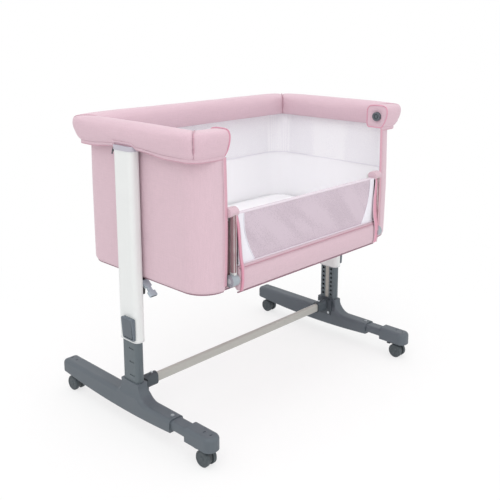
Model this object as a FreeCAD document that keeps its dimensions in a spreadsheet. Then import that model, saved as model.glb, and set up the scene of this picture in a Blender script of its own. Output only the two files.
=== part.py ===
"""Bedside sleeper crib: a padded bassinet that slides on two telescopic legs with castor feet.

Millimetres, +Z up. The origin is on the floor under the middle of the crib. X runs along the
crib, -Y is the side with the folding front, +Y is the back. Left-hand pieces lie on -X, and
their right-hand twins are mirrored from them.
"""
import FreeCAD, Part
import os
import re
import Sketcher

doc = FreeCAD.newDocument("bedside_crib")
sheet = doc.addObject("Spreadsheet::Sheet", "sizes")

SIZES = {
    # A number is a size in mm of its own; a formula keeps a size with the ones that it fits.
    # legs, from the middle of the crib to the middle of each post
    "leg_reach": 445, "post_width": 80, "post_depth": 35, "post_wall": 2,
    "post_round": "post_depth * 3 / 7", "post_foot_height": 262, "post_top_height": 793,
    "inner_post_width": "post_width - 11", "inner_post_depth": "post_depth - 8",
    "inner_post_wall": 3, "inner_post_round": "post_round - 3", "inner_post_top": 640,
    "notch_pitch": 40, "notch_first": "collar_top + 18", "notch_count": 4, "notch_width": 20,
    "notch_height": 4, "notch_bite": 1.5, "notch_shift": 10,
    "rack_pitch": 16, "rack_first": "collar_top + 12", "rack_count": 12, "rack_width": 9,
    "rack_height": 8, "rack_reach": "inner_post_width / 2 - 17.5",
    "strip_width": 14, "strip_thick": 1.2, "strip_foot": "collar_top + 4",
    "strip_top": "inner_post_top - 80", "bushing_height": 46, "bushing_lip_height": 4,
    "bushing_lip_proud": 0.5, "glide_height": 24,
    # feet
    "foot_width": "post_depth + 15", "foot_reach": 334, "foot_mouth": "foot_reach - 155",
    "foot_sole": 41, "heel_sole": "foot_sole + 15", "mouth_sole": "foot_sole + 9",
    "foot_top": "bar_high + 3.5", "rear_top": "foot_top + 8", "heel_top": "rear_top + 2",
    "collar_top": "rear_top + 40",
    "collar_half": "inner_post_width / 2 + 4", "collar_side": "inner_post_depth / 2 + 3.5",
    "collar_flank_foot": 6, "collar_flank_bend": 22, "collar_flank_top": 4,
    "rear_flare": 20, "front_flare": 42, "heel_round": 15, "foot_edge": 12, "sole_edge": 5,
    "post_seat": "foot_sole + 19", "castor_boss_radius": "flange_radius + 2",
    "bar_width": "foot_width - 10", "bar_low": "end_block_low + 5", "bar_high": "bar_low + 27",
    "bar_round": 8, "bar_tail": "foot_mouth - 79", "bar_channel": "bar_tail - 61",
    "end_block_start": "foot_reach - 95", "end_block_low": "flange_high + 0.5",
    "end_block_high": "bar_high + 8", "end_block_round": 22, "end_block_edge": 12,
    "block_overlap": 8, "vent_length": 9, "vent_width": 3, "vent_depth": 3,
    "vent_first": "castor_place + 1", "vent_second": "castor_place + 25",
    "lock_button_radius": 5, "lock_button_place": "foot_mouth - 14",
    "lock_button_proud": 2.5, "lock_button_travel": 2.5,
    # castors
    "castor_place": "foot_reach - 45", "wheel_radius": 23, "wheel_inner": "fork_half + 1",
    "wheel_outer": "wheel_inner + 12", "wheel_bevel": 3, "wheel_chamfer": 1, "wheel_step": 1.5,
    "wheel_dish": 3, "wheel_lip": 4, "castor_trail": 8, "fork_half": 5.5,
    "fork_radius": "wheel_radius - 4", "flange_radius": 15,
    "flange_low": "2 * wheel_radius + 0.5", "flange_high": "flange_low + 5", "stem_radius": 5,
    "stem_top": "bar_high - 6", "axle_radius": 3, "brake_pivot_out": "wheel_radius - 6",
    "brake_pivot_height": "flange_low - 3.5", "brake_pin_radius": 1.5, "brake_eye_radius": 3.1,
    "brake_lug_half": 2.5, "pedal_half": "wheel_outer - 4.5", "pedal_start": "wheel_radius - 0.7",
    "pedal_end": "wheel_radius + 10", "pedal_thick": 4,
    # cross bar between the legs
    "cross_height": "foot_top + 26.5", "cross_tall": 29, "cross_deep": 16, "cross_wall": 1.5,
    "cross_flat": 0.5, "socket_length": 48, "socket_tall": "cross_tall + 11",
    "socket_deep": "cross_deep + 11", "socket_flat": 1, "socket_plate": 3,
    "plate_half": "collar_half - 9", "plate_low": "cross_height - 35",
    "plate_high": "collar_top - 1", "socket_depth": 30, "screw_radius": 4.5, "screw_head": 3,
    # rim: tube and pads
    "rim_half_length": "leg_reach + 21", "rim_front": 288, "rim_back": 263,
    "rim_low": "post_top_height + 2", "rim_high": "rim_low + 71",
    "pad_width": 75, "rim_corner": 60, "rim_inner_corner": 8, "crown_outer": 30,
    "crown_inner": 26, "belly_outer": 16, "belly_inner": 12, "return_end": "front_gap - 2",
    "rim_tube_radius": 12.5, "rim_tube_wall": 1.5, "rim_tube_bend": 37,
    "receiver_face": "return_end - 6.7", "receiver_seat": "return_end + 9",
    "receiver_radius": "rim_tube_radius + 1.5", "receiver_ring": "receiver_radius - 6",
    "receiver_core": "receiver_ring - 2.5", "receiver_recess": 4, "receiver_core_back": 1,
    "cap_width": "post_width + 4", "cap_depth": "post_depth + 4", "cap_round": 2,
    "cap_height": 13, "cap_plug": 22, "saddle_half": "cap_width / 2 - 14", "saddle_out": 15,
    # release lever for the height, on the outside of each outer post
    "release_low": "post_foot_height + 3", "release_high": "release_low + 65",
    "release_front": 36, "release_back": 15, "release_thin": 5, "release_thick": 10,
    "release_rim": 6, "release_round": 6, "release_floor": 1, "window_margin": 4, "lever_pivot_out": 4.2,
    "lever_pivot_height": "release_low + 9", "lever_eye": 3, "lever_pin": 1.5,
    "lever_under": 1.9, "bolt_height": "release_low + 32", "bolt_shift": 10, "bolt_radius": 4,
    "bolt_head": 1.4,
    # bassinet: cover, base, mattress
    "cover_end": "leg_reach - 20", "cover_front": "rim_front - 20", "cover_back": "rim_back - 25",
    "cover_low": "rim_low - 355", "cover_thick": 3, "cover_corner": 70, "cover_bottom_round": 22,
    "tray_height": 24, "front_gap": "leg_reach - 100", "base_tube_radius": 7,
    "base_tube_wall": 1.2, "base_tube_end": "cover_end - 19", "base_tube_back": "cover_back - 19",
    "base_tube_height": "cover_low + 13", "base_tube_bend": 50,
    "board_thick": 5, "board_end": "cover_end - 13", "board_front": "cover_front - 32",
    "board_back": "cover_back - 10", "soft_corner": "cover_corner - 15",
    "mattress_top": "cover_low + 60", "mattress_end": "cover_end - 9",
    "mattress_front": "cover_front - 30", "mattress_back": "cover_back - 8",
    "mattress_edge": 10, "frame_bolt_radius": 4, "frame_bolt_spread": 20,
    # folding front
    "elbow_out": "gate_post_out + 14", "elbow_height": "cover_low + 208",
    "gate_offset": "elbow_out - rim_front + pad_width / 2",
    "gate_drop": "(rim_low + rim_high) / 2 - elbow_height - 0.5",
    "gate_post_place": "hub_outer - 15", "gate_post_out": "cover_front - 20",
    "gate_post_radius": 6.5, "gate_post_top": "elbow_height - 14", "arm_half": 4.5,
    "arm_width": 16, "elbow_eye": 11, "elbow_pin": 4, "lug_gap": 0.7, "lug_thick": 6,
    "lug_bite": 1, "lug_web_drop": 10, "arm_start": 8, "pin_head": 6, "pin_head_thick": 2,
    "rail_radius": 11, "rail_wall": 1.5, "rail_pad_end": "hub_inner - 4",
    "rail_pad_thick": "2 * rail_radius + 5", "rail_pad_up": 39, "rail_pad_down": 38,
    "rail_pad_edge": 12, "hub_inner": "hub_outer - 23", "hub_outer": "receiver_face - 1.3",
    "hub_radius": "rail_radius + 5.5", "hub_button_radius": 7, "hub_button_length": 10,
    "gate_mesh_end": "rail_pad_end - 2", "gate_mesh_thick": 2, "barrier_thick": 2.2,
    # strap under the left end
    "buckle_place": "cover_end - 16", "buckle_front": 82, "buckle_back": 16, "buckle_width": 24,
    "buckle_thick": 9, "buckle_bar": 8, "buckle_slot": 26, "buckle_side": 4,
    "strap_thick": 1.6, "strap_width": 20, "strap_drop": 62, "strap_back": 2, "strap_tilt": 40,
    # clearances
    "slide_gap": 0.3, "turn_gap": 0.05, "seat_gap": 0.1, "cloth_gap": 0.3, "beyond": 2,
}

for row, alias in enumerate(SIZES, start=1):
    sheet.set(f"A{row}", alias)
    sheet.setAlias(f"B{row}", alias)
for row, size in enumerate(SIZES.values(), start=1):
    sheet.set(f"B{row}", f"={size}")
doc.recompute()

NODES = {}


def formula(text):
    """Point each size named in an expression at its cell of the sheet."""
    return re.sub(r"[a-z_]+", lambda word: f"sizes.{word[0]}" if word[0] in SIZES else word[0],
                  str(text))


def bind(thing, prop, text):
    thing.setExpression(prop, formula(text))


def value(text):
    return float(sheet.evalExpression(formula(text)))


def node(thing, name):
    """Name a finished sub-part; its label becomes its file's name."""
    thing.Label = name
    NODES[name] = thing
    return thing


def mirrored(thing, name):
    """Mirror an object in the middle plane of the crib."""
    mirror = doc.addObject("Part::Mirroring", name)
    mirror.Source = thing
    mirror.Normal = (1, 0, 0)
    return mirror


def twin(name):
    """Add the right-hand twin of a left-hand sub-part as a node of its own."""
    right = name.replace("left", "right")
    return node(mirrored(NODES[name], right), right)


def pair(thing, name):
    """One node that holds a left-hand piece and its right-hand twin as separate solids."""
    both = doc.addObject("Part::Compound", name)
    both.Links = [thing, mirrored(thing, f"{name}_mirror")]
    return node(both, name)


# ---------------------------------------------------------------- primitives and booleans
def box(name, x, y, z):
    """A block between a (low, high) pair of expressions on each axis."""
    block = doc.addObject("Part::Box", name)
    sides = (("Length", "x", x), ("Width", "y", y), ("Height", "z", z))
    for side, axis, (low, high) in sides:
        bind(block, side, f"({high}) - ({low})")
        bind(block, f"Placement.Base.{axis}", low)
    return block


def tilt(thing, angle, y, z, own=("0", "0")):
    """Turn an object about a line along x through (y, z); own is its frame's place before."""
    thing.Placement = FreeCAD.Placement(thing.Placement.Base,
                                        FreeCAD.Rotation(FreeCAD.Vector(1, 0, 0), 1))
    bind(thing, "Placement.Rotation.Angle", angle)
    back, up = f"({own[0]} - ({y}))", f"({own[1]} - ({z}))"
    bind(thing, "Placement.Base.y", f"{y} + {back} * cos({angle}) - {up} * sin({angle})")
    bind(thing, "Placement.Base.z", f"{z} + {back} * sin({angle}) + {up} * cos({angle})")
    return thing


TURNS = {
    "x": FreeCAD.Rotation(FreeCAD.Vector(0, 1, 0), 90),
    "y": FreeCAD.Rotation(FreeCAD.Vector(1, 0, 0), -90),
    "z": FreeCAD.Rotation(),
}


def rod(name, axis, radius, start, end, place):
    """A cylinder along an axis from start to end, at a (first, second) place on the others."""
    cylinder = doc.addObject("Part::Cylinder", name)
    cylinder.Placement = FreeCAD.Placement(FreeCAD.Vector(), TURNS[axis])
    bind(cylinder, "Radius", radius)
    bind(cylinder, "Height", f"({end}) - ({start})")
    bind(cylinder, f"Placement.Base.{axis}", start)
    for other, text in zip([letter for letter in "xyz" if letter != axis], place):
        bind(cylinder, f"Placement.Base.{other}", text)
    return cylinder


def fuse(name, *parts):
    union = doc.addObject("Part::MultiFuse", name)
    union.Shapes = list(parts)
    union.Refine = True
    return union


def cut(name, base, *tools):
    """Take each tool out of the base, one after another."""
    for count, tool in enumerate(tools):
        step = doc.addObject("Part::Cut", f"{name}_{count}" if count < len(tools) - 1 else name)
        step.Base = base
        step.Tool = tool
        base = step
    return base


def common(name, first, second):
    shared = doc.addObject("Part::Common", name)
    shared.Base = first
    shared.Tool = second
    return shared


# ---------------------------------------------------------------- sketches and solid features
def body_of(name, x="0", y="0", z="0"):
    body = doc.addObject("PartDesign::Body", name)
    for axis, text in zip("xyz", (x, y, z)):
        bind(body, f"Placement.Base.{axis}", text)
    return body


def sketch_on(body, name, plane, offset="0"):
    sketch = body.newObject("Sketcher::SketchObject", name)
    origin_plane = [item for item in body.Origin.OriginFeatures if item.Role == plane][0]
    sketch.AttachmentSupport = [(origin_plane, "")]
    sketch.MapMode = "FlatFace"
    bind(sketch, "AttachmentOffset.Base.z", offset)
    return sketch


def spot(sketch, x, y):
    """A guiding point of the sketch, held at two expressions; returns its index and place."""
    place = FreeCAD.Vector(value(x), value(y), 0)
    index = sketch.addGeometry(Part.Point(place), True)
    for axis, text, number in (("DistanceX", x, place.x), ("DistanceY", y, place.y)):
        held = sketch.addConstraint(Sketcher.Constraint(axis, -1, 1, index, 1, number))
        sketch.setExpression(f"Constraints[{held}]", formula(text))
    return index, place


def outline(sketch, steps, closed=True):
    """Draw lines and arcs through points: (x, y) ends a line, (mx, my, x, y) ends an arc."""
    ends = [spot(sketch, *step[-2:]) for step in steps]
    pairs = list(zip(ends, ends[1:] + ends[:1], steps[1:] + steps[:1]))
    for (first, start), (last, end), step in pairs if closed else pairs[:-1]:
        if len(step) == 2:
            edge = sketch.addGeometry(Part.LineSegment(start, end))
            turned = False
        else:
            middle, through = spot(sketch, *step[:2])
            turned = (through - start).cross(end - through).z < 0
            tips = (end, through, start) if turned else (start, through, end)
            edge = sketch.addGeometry(Part.ArcOfCircle(*tips))
            sketch.addConstraint(Sketcher.Constraint("PointOnObject", middle, 1, edge))
        sketch.addConstraint(Sketcher.Constraint("Coincident", first, 1, edge, 2 if turned else 1))
        sketch.addConstraint(Sketcher.Constraint("Coincident", last, 1, edge, 1 if turned else 2))


def rounded(x, y, radius):
    """The steps of a rectangle between two (low, high) pairs, with round corners."""
    (left, right), (low, high) = x, y
    bite = f"({radius}) * (1 - sqrt(0.5))"
    corners = ((right, low, "-", "+", True), (right, high, "-", "-", False),
               (left, high, "+", "-", True), (left, low, "+", "+", False))
    steps = []
    for corner_x, corner_y, sign_x, sign_y, flat_first in corners:
        along_x = (f"{corner_x} {sign_x} ({radius})", corner_y)
        along_y = (corner_x, f"{corner_y} {sign_y} ({radius})")
        enter, leave = (along_x, along_y) if flat_first else (along_y, along_x)
        steps.append(enter)
        steps.append((f"{corner_x} {sign_x} {bite}", f"{corner_y} {sign_y} {bite}") + leave)
    return steps


def ring(sketch, radius, x="0", y="0"):
    centre, place = spot(sketch, x, y)
    normal = FreeCAD.Vector(0, 0, 1)
    circle = sketch.addGeometry(Part.Circle(place, normal, value(radius)))
    sketch.addConstraint(Sketcher.Constraint("Coincident", circle, 3, centre, 1))
    held = sketch.addConstraint(Sketcher.Constraint("Radius", circle, value(radius)))
    sketch.setExpression(f"Constraints[{held}]", formula(radius))


def pad(body, sketch, length, midplane=False, reverse=False):
    feature = body.newObject("PartDesign::Pad", f"{sketch.Name}_pad")
    feature.Profile = sketch
    bind(feature, "Length", length)
    feature.Midplane = midplane
    feature.Reversed = reverse
    return feature


def pocket(body, sketch, length=None, midplane=False, reverse=False):
    """Cut a sketch's outline out of the body, and make sure that it does cut."""
    doc.recompute()
    before = body.Shape.Volume
    feature = body.newObject("PartDesign::Pocket", f"{sketch.Name}_pocket")
    feature.Profile = sketch
    if length is None:
        feature.Type = "ThroughAll"
    else:
        bind(feature, "Length", length)
    feature.Midplane = midplane
    feature.Reversed = reverse
    doc.recompute()
    if not body.Shape.Volume < before - 0.1:
        raise ValueError(f"{sketch.Name} cuts nothing")
    return feature


def round_edges(body, radius, chosen, name):
    """Round the edges of the body for which chosen(box of the edge) is true."""
    doc.recompute()
    base = body.Tip
    edges = [f"Edge{count}" for count, edge in enumerate(base.Shape.Edges, start=1)
             if chosen(edge.BoundBox)]
    feature = body.newObject("PartDesign::Fillet", name)
    feature.Base = (base, edges)
    bind(feature, "Radius", radius)
    doc.recompute()
    return feature


def repeat(body, feature, axis, pitch, count):
    """Repeat a feature along one of the body's axes."""
    pattern = body.newObject("PartDesign::LinearPattern", f"{feature.Name}_row")
    pattern.Originals = [feature]
    line = [item for item in body.Origin.OriginFeatures if item.Role == axis][0]
    pattern.Direction = (line, [""])
    pattern.Mode = "Spacing"
    bind(pattern, "Offset", pitch)
    bind(pattern, "Occurrences", count)
    body.Tip = pattern
    doc.recompute()
    return pattern


def upright(name, x, y, corner, low, high, place=("0", "0")):
    """A solid with a rounded-rectangle plan between two heights."""
    body = body_of(name, place[0], place[1], low)
    plan = sketch_on(body, f"{name}_plan", "XY_Plane")
    outline(plan, rounded(x, y, corner))
    pad(body, plan, f"({high}) - ({low})")
    doc.recompute()
    return body


def across(size):
    """The two ends of a size that is centred on zero."""
    return f"-({size}) / 2", f"({size}) / 2"


def bent_tube(name, path_steps, closed, height, radius, wall, start):
    """A tube swept along a flat path of lines and arcs at one height."""
    path = doc.addObject("Sketcher::SketchObject", f"{name}_path")
    outline(path, path_steps, closed)
    bind(path, "Placement.Base.z", height)
    doc.recompute()
    edges = [f"Edge{count}" for count in range(1, len(path.Shape.Edges) + 1)]
    sweeps = []
    for layer, size in (("skin", radius), ("bore", f"{radius} - {wall}")):
        circle = doc.addObject("Part::Circle", f"{name}_{layer}_ring")
        bind(circle, "Radius", size)
        circle.Placement = FreeCAD.Placement(FreeCAD.Vector(), TURNS["x"])
        for axis, text in zip("xyz", (*start, height)):
            bind(circle, f"Placement.Base.{axis}", text)
        sweep = doc.addObject("Part::Sweep", f"{name}_{layer}")
        sweep.Sections = [circle]
        sweep.Spine = (path, edges)
        sweep.Solid = True
        sweep.Frenet = False
        sweeps.append(sweep)
    return cut(f"{name}_tube", *sweeps)


# ---------------------------------------------------------------- feet
LEG = "-leg_reach"
NEAR = 1e-3           # mm, for edges that lie at a size


def make_foot():
    """The fixed plastic foot: an arched beam with a collar for the post and a front sleeve."""
    foot = body_of("foot", LEG)
    side = sketch_on(foot, "foot_side", "YZ_Plane")
    rise = "((heel_top - rear_top) / (foot_reach - collar_half))"
    slant = f"sqrt(1 + {rise} ^ 2)"
    rear_y = "(collar_half + rear_flare)"
    rear_z = f"(rear_top + rear_flare * ({rise} + {slant}))"
    front_y = "(-collar_half - front_flare)"
    outline(side, [
        ("-foot_mouth", "mouth_sole"),
        ("0", "foot_sole", "foot_reach", "heel_sole"),
        ("foot_reach", "heel_top"),
        (f"{rear_y} + rear_flare * {rise} / {slant}", f"{rear_z} - rear_flare / {slant}"),
        (f"{rear_y} - rear_flare * cos(45 deg - atan({rise}) / 2)",
         f"{rear_z} - rear_flare * sin(45 deg - atan({rise}) / 2)", "collar_half", rear_z),
        ("collar_half", "collar_top"),
        ("-collar_half", "collar_top"),
        ("-collar_half", "foot_top + front_flare"),
        (f"{front_y} + front_flare * sqrt(0.5)", "foot_top + front_flare * (1 - sqrt(0.5))",
         front_y, "foot_top"),
        ("-foot_mouth", "foot_top"),
    ])
    pad(foot, side, "foot_width", midplane=True)
    seat = sketch_on(foot, "post_socket", "XY_Plane", "post_seat")
    outline(seat, rounded(across("inner_post_depth + 2 * seat_gap"),
                          across("inner_post_width + 2 * seat_gap"),
                          "inner_post_round + seat_gap"))
    pocket(foot, seat, "collar_top - post_seat + beyond", reverse=True)
    heel = value("foot_reach")
    half = value("foot_width / 2")
    back = value("heel_sole")
    low = value("foot_top")
    round_edges(foot, "heel_round", lambda edge: (
        edge.YMin > heel - NEAR and edge.XLength > NEAR and edge.ZMin > back + NEAR),
                "heel_rounding")
    round_edges(foot, "foot_edge", lambda edge: (
        abs(abs(edge.XMin) - half) < NEAR and edge.XLength < NEAR and edge.ZMin > low - NEAR),
                "foot_top_rounding")
    round_edges(foot, "sole_edge", lambda edge: (
        edge.ZMax < back + NEAR and edge.YLength > NEAR), "foot_sole_rounding")
    for hand in ("-", ""):
        flank = sketch_on(foot, f"collar_flank{len(hand)}", "XZ_Plane")
        outline(flank, [
            (f"{hand}(foot_width / 2 + beyond)", "foot_top + collar_flank_foot"),
            (f"{hand}(collar_side + socket_flat)", "foot_top + collar_flank_bend",
             f"{hand}collar_side", "collar_top - collar_flank_top"),
            (f"{hand}collar_side", "collar_top + beyond"),
            (f"{hand}(foot_width / 2 + beyond)", "collar_top + beyond"),
        ])
        pocket(foot, flank, "4 * collar_half + foot_width", midplane=True)
    channel = sketch_on(foot, "bar_channel_face", "XZ_Plane", "foot_mouth + beyond")
    outline(channel, rounded(across("bar_width + 2 * slide_gap"),
                             ("bar_low - slide_gap", "bar_high + slide_gap"),
                             "bar_round + slide_gap"))
    pocket(foot, channel, "foot_mouth + beyond - bar_channel")
    button_hole = sketch_on(foot, "lock_button_hole", "XY_Plane", "bar_high - beyond")
    ring(button_hole, "lock_button_radius + turn_gap", "0", "-lock_button_place")
    pocket(foot, button_hole, "foot_top", reverse=True)
    clear = sketch_on(foot, "castor_room", "XY_Plane", "end_block_low")
    ring(clear, "castor_boss_radius", "0", "castor_place")
    pocket(foot, clear, "end_block_low - foot_sole")
    boss = sketch_on(foot, "castor_boss", "XY_Plane", "end_block_low")
    ring(boss, "castor_boss_radius", "0", "castor_place")
    pad(foot, boss, "heel_sole + block_overlap - end_block_low")
    stem_hole = sketch_on(foot, "stem_hole", "XY_Plane", "end_block_low")
    ring(stem_hole, "stem_radius + turn_gap", "0", "castor_place")
    pocket(foot, stem_hole, "stem_top + beyond - end_block_low", reverse=True)
    vents = sketch_on(foot, "heel_vents", "XY_Plane", "heel_top")
    for place in ("vent_first", "vent_second"):
        outline(vents, [("-vent_length / 2", place), ("vent_length / 2", place),
                        ("vent_length / 2", f"{place} + vent_width"),
                        ("-vent_length / 2", f"{place} + vent_width")])
    pocket(foot, vents, "vent_depth")
    return node(foot, "foot_left")


def make_extension():
    """The sliding front of the foot: a bar in the sleeve and an end block over the castor."""
    bar = body_of("extension", LEG)
    section = sketch_on(bar, "bar_section", "XZ_Plane", "bar_tail")
    outline(section, rounded(across("bar_width"), ("bar_low", "bar_high"), "bar_round"))
    pad(bar, section, "end_block_start + block_overlap - bar_tail")
    block = sketch_on(bar, "end_block_plan", "XY_Plane", "end_block_low")
    bite = "end_block_round * (1 - sqrt(0.5))"
    outline(block, [
        ("-foot_width / 2", "-end_block_start"),
        ("-foot_width / 2", "-foot_reach + end_block_round"),
        (f"-foot_width / 2 + {bite}", f"-foot_reach + {bite}",
         "-foot_width / 2 + end_block_round", "-foot_reach"),
        ("foot_width / 2 - end_block_round", "-foot_reach"),
        (f"foot_width / 2 - {bite}", f"-foot_reach + {bite}",
         "foot_width / 2", "-foot_reach + end_block_round"),
        ("foot_width / 2", "-end_block_start"),
    ])
    pad(bar, block, "end_block_high - end_block_low")
    top = value("end_block_high")
    round_edges(bar, "end_block_edge",
                lambda edge: edge.ZMin > top - NEAR and edge.YLength > NEAR, "block_rounding")
    stem_hole = sketch_on(bar, "bar_stem_hole", "XY_Plane", "end_block_low")
    ring(stem_hole, "stem_radius + turn_gap", "0", "-castor_place")
    pocket(bar, stem_hole, "stem_top + beyond - end_block_low", reverse=True)
    vents = sketch_on(bar, "block_vents", "XY_Plane", "end_block_high")
    for place in ("vent_first", "vent_second"):
        outline(vents, [("-vent_length / 2", f"-{place}"), ("vent_length / 2", f"-{place}"),
                        ("vent_length / 2", f"-{place} - vent_width"),
                        ("-vent_length / 2", f"-{place} - vent_width")])
    pocket(bar, vents, "vent_depth")
    return node(bar, "foot_extension_left")


def make_lock_button():
    """The push button in the top of the sleeve, with room to be pressed down to the bar."""
    button = rod("lock_button", "z", "lock_button_radius",
                 "bar_high + slide_gap + lock_button_travel",
                 "foot_top + lock_button_proud", (LEG, "-lock_button_place"))
    return node(button, "extension_button_left")


# ---------------------------------------------------------------- castors
def make_castor(end, sign):
    """One twin-wheel castor: a forked body on a swivelling stem, and the wheel pair."""
    axle = f"{sign}(castor_place + castor_trail)"
    stem_place = (LEG, f"{sign}castor_place")
    stem = rod(f"stem_{end}", "z", "stem_radius", "flange_low + beyond", "stem_top", stem_place)
    flange = rod(f"flange_{end}", "z", "flange_radius", "flange_low", "flange_high", stem_place)
    fork_x = (f"{LEG} - fork_half", f"{LEG} + fork_half")
    disc = rod(f"fork_disc_{end}", "x", "fork_radius", *fork_x, (axle, "wheel_radius"))
    neck = box(f"fork_neck_{end}", fork_x, (f"{axle} - fork_radius / 2", f"{axle} + fork_radius / 2"),
               ("wheel_radius", "flange_low + beyond"))
    parts = [stem, flange, disc, neck]
    holes = [rod(f"axle_hole_{end}", "x", "axle_radius + turn_gap", f"{fork_x[0]} - beyond",
                 f"{fork_x[1]} + beyond", (axle, "wheel_radius"))]
    if end == "front":
        pivot = f"{axle} + brake_pivot_out"
        lug_x = (f"{LEG} - brake_lug_half", f"{LEG} + brake_lug_half")
        parts.append(rod("brake_lug", "x", "brake_eye_radius", *lug_x,
                         (pivot, "brake_pivot_height")))
        parts.append(box("brake_lug_root", lug_x, (axle, pivot),
                         ("brake_pivot_height - brake_eye_radius",
                          "brake_pivot_height + brake_eye_radius")))
        for side, low, high in (("near", f"{fork_x[0]} - beyond", lug_x[0]),
                                ("far", lug_x[1], f"{fork_x[1]} + beyond")):
            holes.append(box(f"brake_room_{side}", (low, high),
                             (f"{pivot} - brake_eye_radius - slide_gap", f"{pivot} + fork_radius"),
                             ("wheel_radius", "flange_low")))
        holes.append(rod("brake_hole", "x", "brake_pin_radius + turn_gap",
                         f"{lug_x[0]} - beyond", f"{lug_x[1]} + beyond",
                         (pivot, "brake_pivot_height")))
    housing = cut(f"castor_body_{end}", fuse(f"castor_blank_{end}", *parts), *holes)
    node(housing, f"castor_housing_{end}_left")
    wheels = body_of(f"wheel_pair_{end}", LEG, axle, "wheel_radius")
    profile = sketch_on(wheels, f"wheel_profile_{end}", "XZ_Plane")
    half = [("0", "axle_radius"), ("wheel_inner", "axle_radius"),
            ("wheel_inner", "wheel_radius - wheel_chamfer"),
            ("wheel_inner + wheel_chamfer", "wheel_radius"),
            ("wheel_outer - wheel_bevel", "wheel_radius"),
            ("wheel_outer", "wheel_radius - wheel_bevel"),
            ("wheel_outer", "wheel_radius - wheel_bevel - wheel_step"),
            ("wheel_outer - wheel_step", "wheel_radius - wheel_bevel - 2 * wheel_step"),
            ("wheel_outer - wheel_step", "axle_radius + wheel_dish + wheel_step"),
            ("wheel_outer", "axle_radius + wheel_dish"), ("wheel_outer", "0")]
    outline(profile, half + [(f"-({x})", y) for x, y in reversed(half[1:])])
    turned = wheels.newObject("PartDesign::Revolution", f"wheel_turn_{end}")
    turned.Profile = profile
    turned.ReferenceAxis = (profile, ["H_Axis"])
    turned.Angle = 360
    doc.recompute()
    node(wheels, f"castor_wheels_{end}_left")


def make_brake():
    """The brake pedal of a front castor: two cheeks on a pin, and a tread plate."""
    axle = "-(castor_place + castor_trail)"
    pivot = f"{axle} + brake_pivot_out"
    eye = (pivot, "brake_pivot_height")
    pin = rod("brake_pin", "x", "brake_pin_radius", f"{LEG} - fork_half", f"{LEG} + fork_half", eye)
    pedal_z = ("brake_pivot_height - pedal_thick / 2", "brake_pivot_height + pedal_thick / 2")
    parts = [pin, box("pedal_plate", (f"{LEG} - pedal_half", f"{LEG} + pedal_half"),
                      (f"{axle} + pedal_start", f"{axle} + pedal_end"), pedal_z)]
    for side in ("-", "+"):
        inner = f"{LEG} {side} (brake_lug_half + slide_gap)"
        outer = f"{LEG} {side} fork_half"
        low, high = (outer, inner) if side == "-" else (inner, outer)
        parts.append(rod(f"brake_cheek{len(parts)}", "x", "brake_eye_radius",
                         low, high, eye))
        parts.append(box(f"brake_web{len(parts)}", (low, high),
                         (pivot, f"{axle} + pedal_start + wheel_chamfer"), pedal_z))
    node(fuse("brake_pedal", *parts), "brake_lever_left")


# ---------------------------------------------------------------- lower posts and cross bar
def make_lower_post():
    """The inner leg tube, with position notches outside and a rack of slots inside."""
    post = upright("lower_post", across("inner_post_depth"), across("inner_post_width"),
                   "inner_post_round", "post_seat", "inner_post_top", (LEG, "0"))
    bore = sketch_on(post, "lower_post_bore", "XY_Plane")
    outline(bore, rounded(across("inner_post_depth - 2 * inner_post_wall"),
                          across("inner_post_width - 2 * inner_post_wall"),
                          "inner_post_round - inner_post_wall"))
    pocket(post, bore, reverse=True)
    level = "- post_seat"
    groove = sketch_on(post, "strip_groove", "XY_Plane", f"strip_foot {level}")
    outline(groove, [("inner_post_depth / 2 - strip_thick - seat_gap", "-strip_width / 2 - seat_gap"),
                     ("inner_post_depth / 2 + beyond", "-strip_width / 2 - seat_gap"),
                     ("inner_post_depth / 2 + beyond", "strip_width / 2 + seat_gap"),
                     ("inner_post_depth / 2 - strip_thick - seat_gap", "strip_width / 2 + seat_gap")])
    pocket(post, groove, "strip_top - strip_foot", reverse=True)
    notch = sketch_on(post, "position_notch", "XZ_Plane", "notch_shift - notch_width / 2")
    outline(notch, [("-inner_post_depth / 2 - beyond", f"notch_first {level}"),
                    ("-inner_post_depth / 2 + notch_bite", f"notch_first {level}"),
                    ("-inner_post_depth / 2 + notch_bite", f"notch_first + notch_height {level}"),
                    ("-inner_post_depth / 2 - beyond", f"notch_first + notch_height {level}")])
    repeat(post, pocket(post, notch, "notch_width", reverse=True), "Z_Axis", "notch_pitch", "notch_count")
    rack = sketch_on(post, "rack_slots", "YZ_Plane", "0")
    for middle in ("-rack_reach", "rack_reach"):
        outline(rack, [(f"{middle} - rack_width / 2", f"rack_first {level}"),
                       (f"{middle} + rack_width / 2", f"rack_first {level}"),
                       (f"{middle} + rack_width / 2", f"rack_first + rack_height {level}"),
                       (f"{middle} - rack_width / 2", f"rack_first + rack_height {level}")])
    slots = pocket(post, rack, "inner_post_depth", reverse=True)
    repeat(post, slots, "Z_Axis", "rack_pitch", "rack_count")
    return node(post, "lower_post_left")


def make_lower_post_fittings():
    """The pale strip let into the inner face, and the glide that caps the inner tube."""
    face = "-leg_reach + inner_post_depth / 2"
    strip = box("strip", (f"{face} - strip_thick", face), across("strip_width"),
                ("strip_foot", "strip_top"))
    pair(strip, "post_strips")
    glide = upright("glide", across("post_depth - 2 * post_wall - 2 * slide_gap"),
                    across("post_width - 2 * post_wall - 2 * slide_gap"),
                    "post_round - post_wall", "inner_post_top", "inner_post_top + glide_height",
                    (LEG, "0"))
    plug = sketch_on(glide, "glide_plug", "XY_Plane")
    outline(plug, rounded(across("inner_post_depth - 2 * inner_post_wall - 2 * seat_gap"),
                          across("inner_post_width - 2 * inner_post_wall - 2 * seat_gap"),
                          "inner_post_round - inner_post_wall - seat_gap"))
    pad(glide, plug, "glide_height", reverse=True)
    pair(glide, "post_glides")


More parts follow.
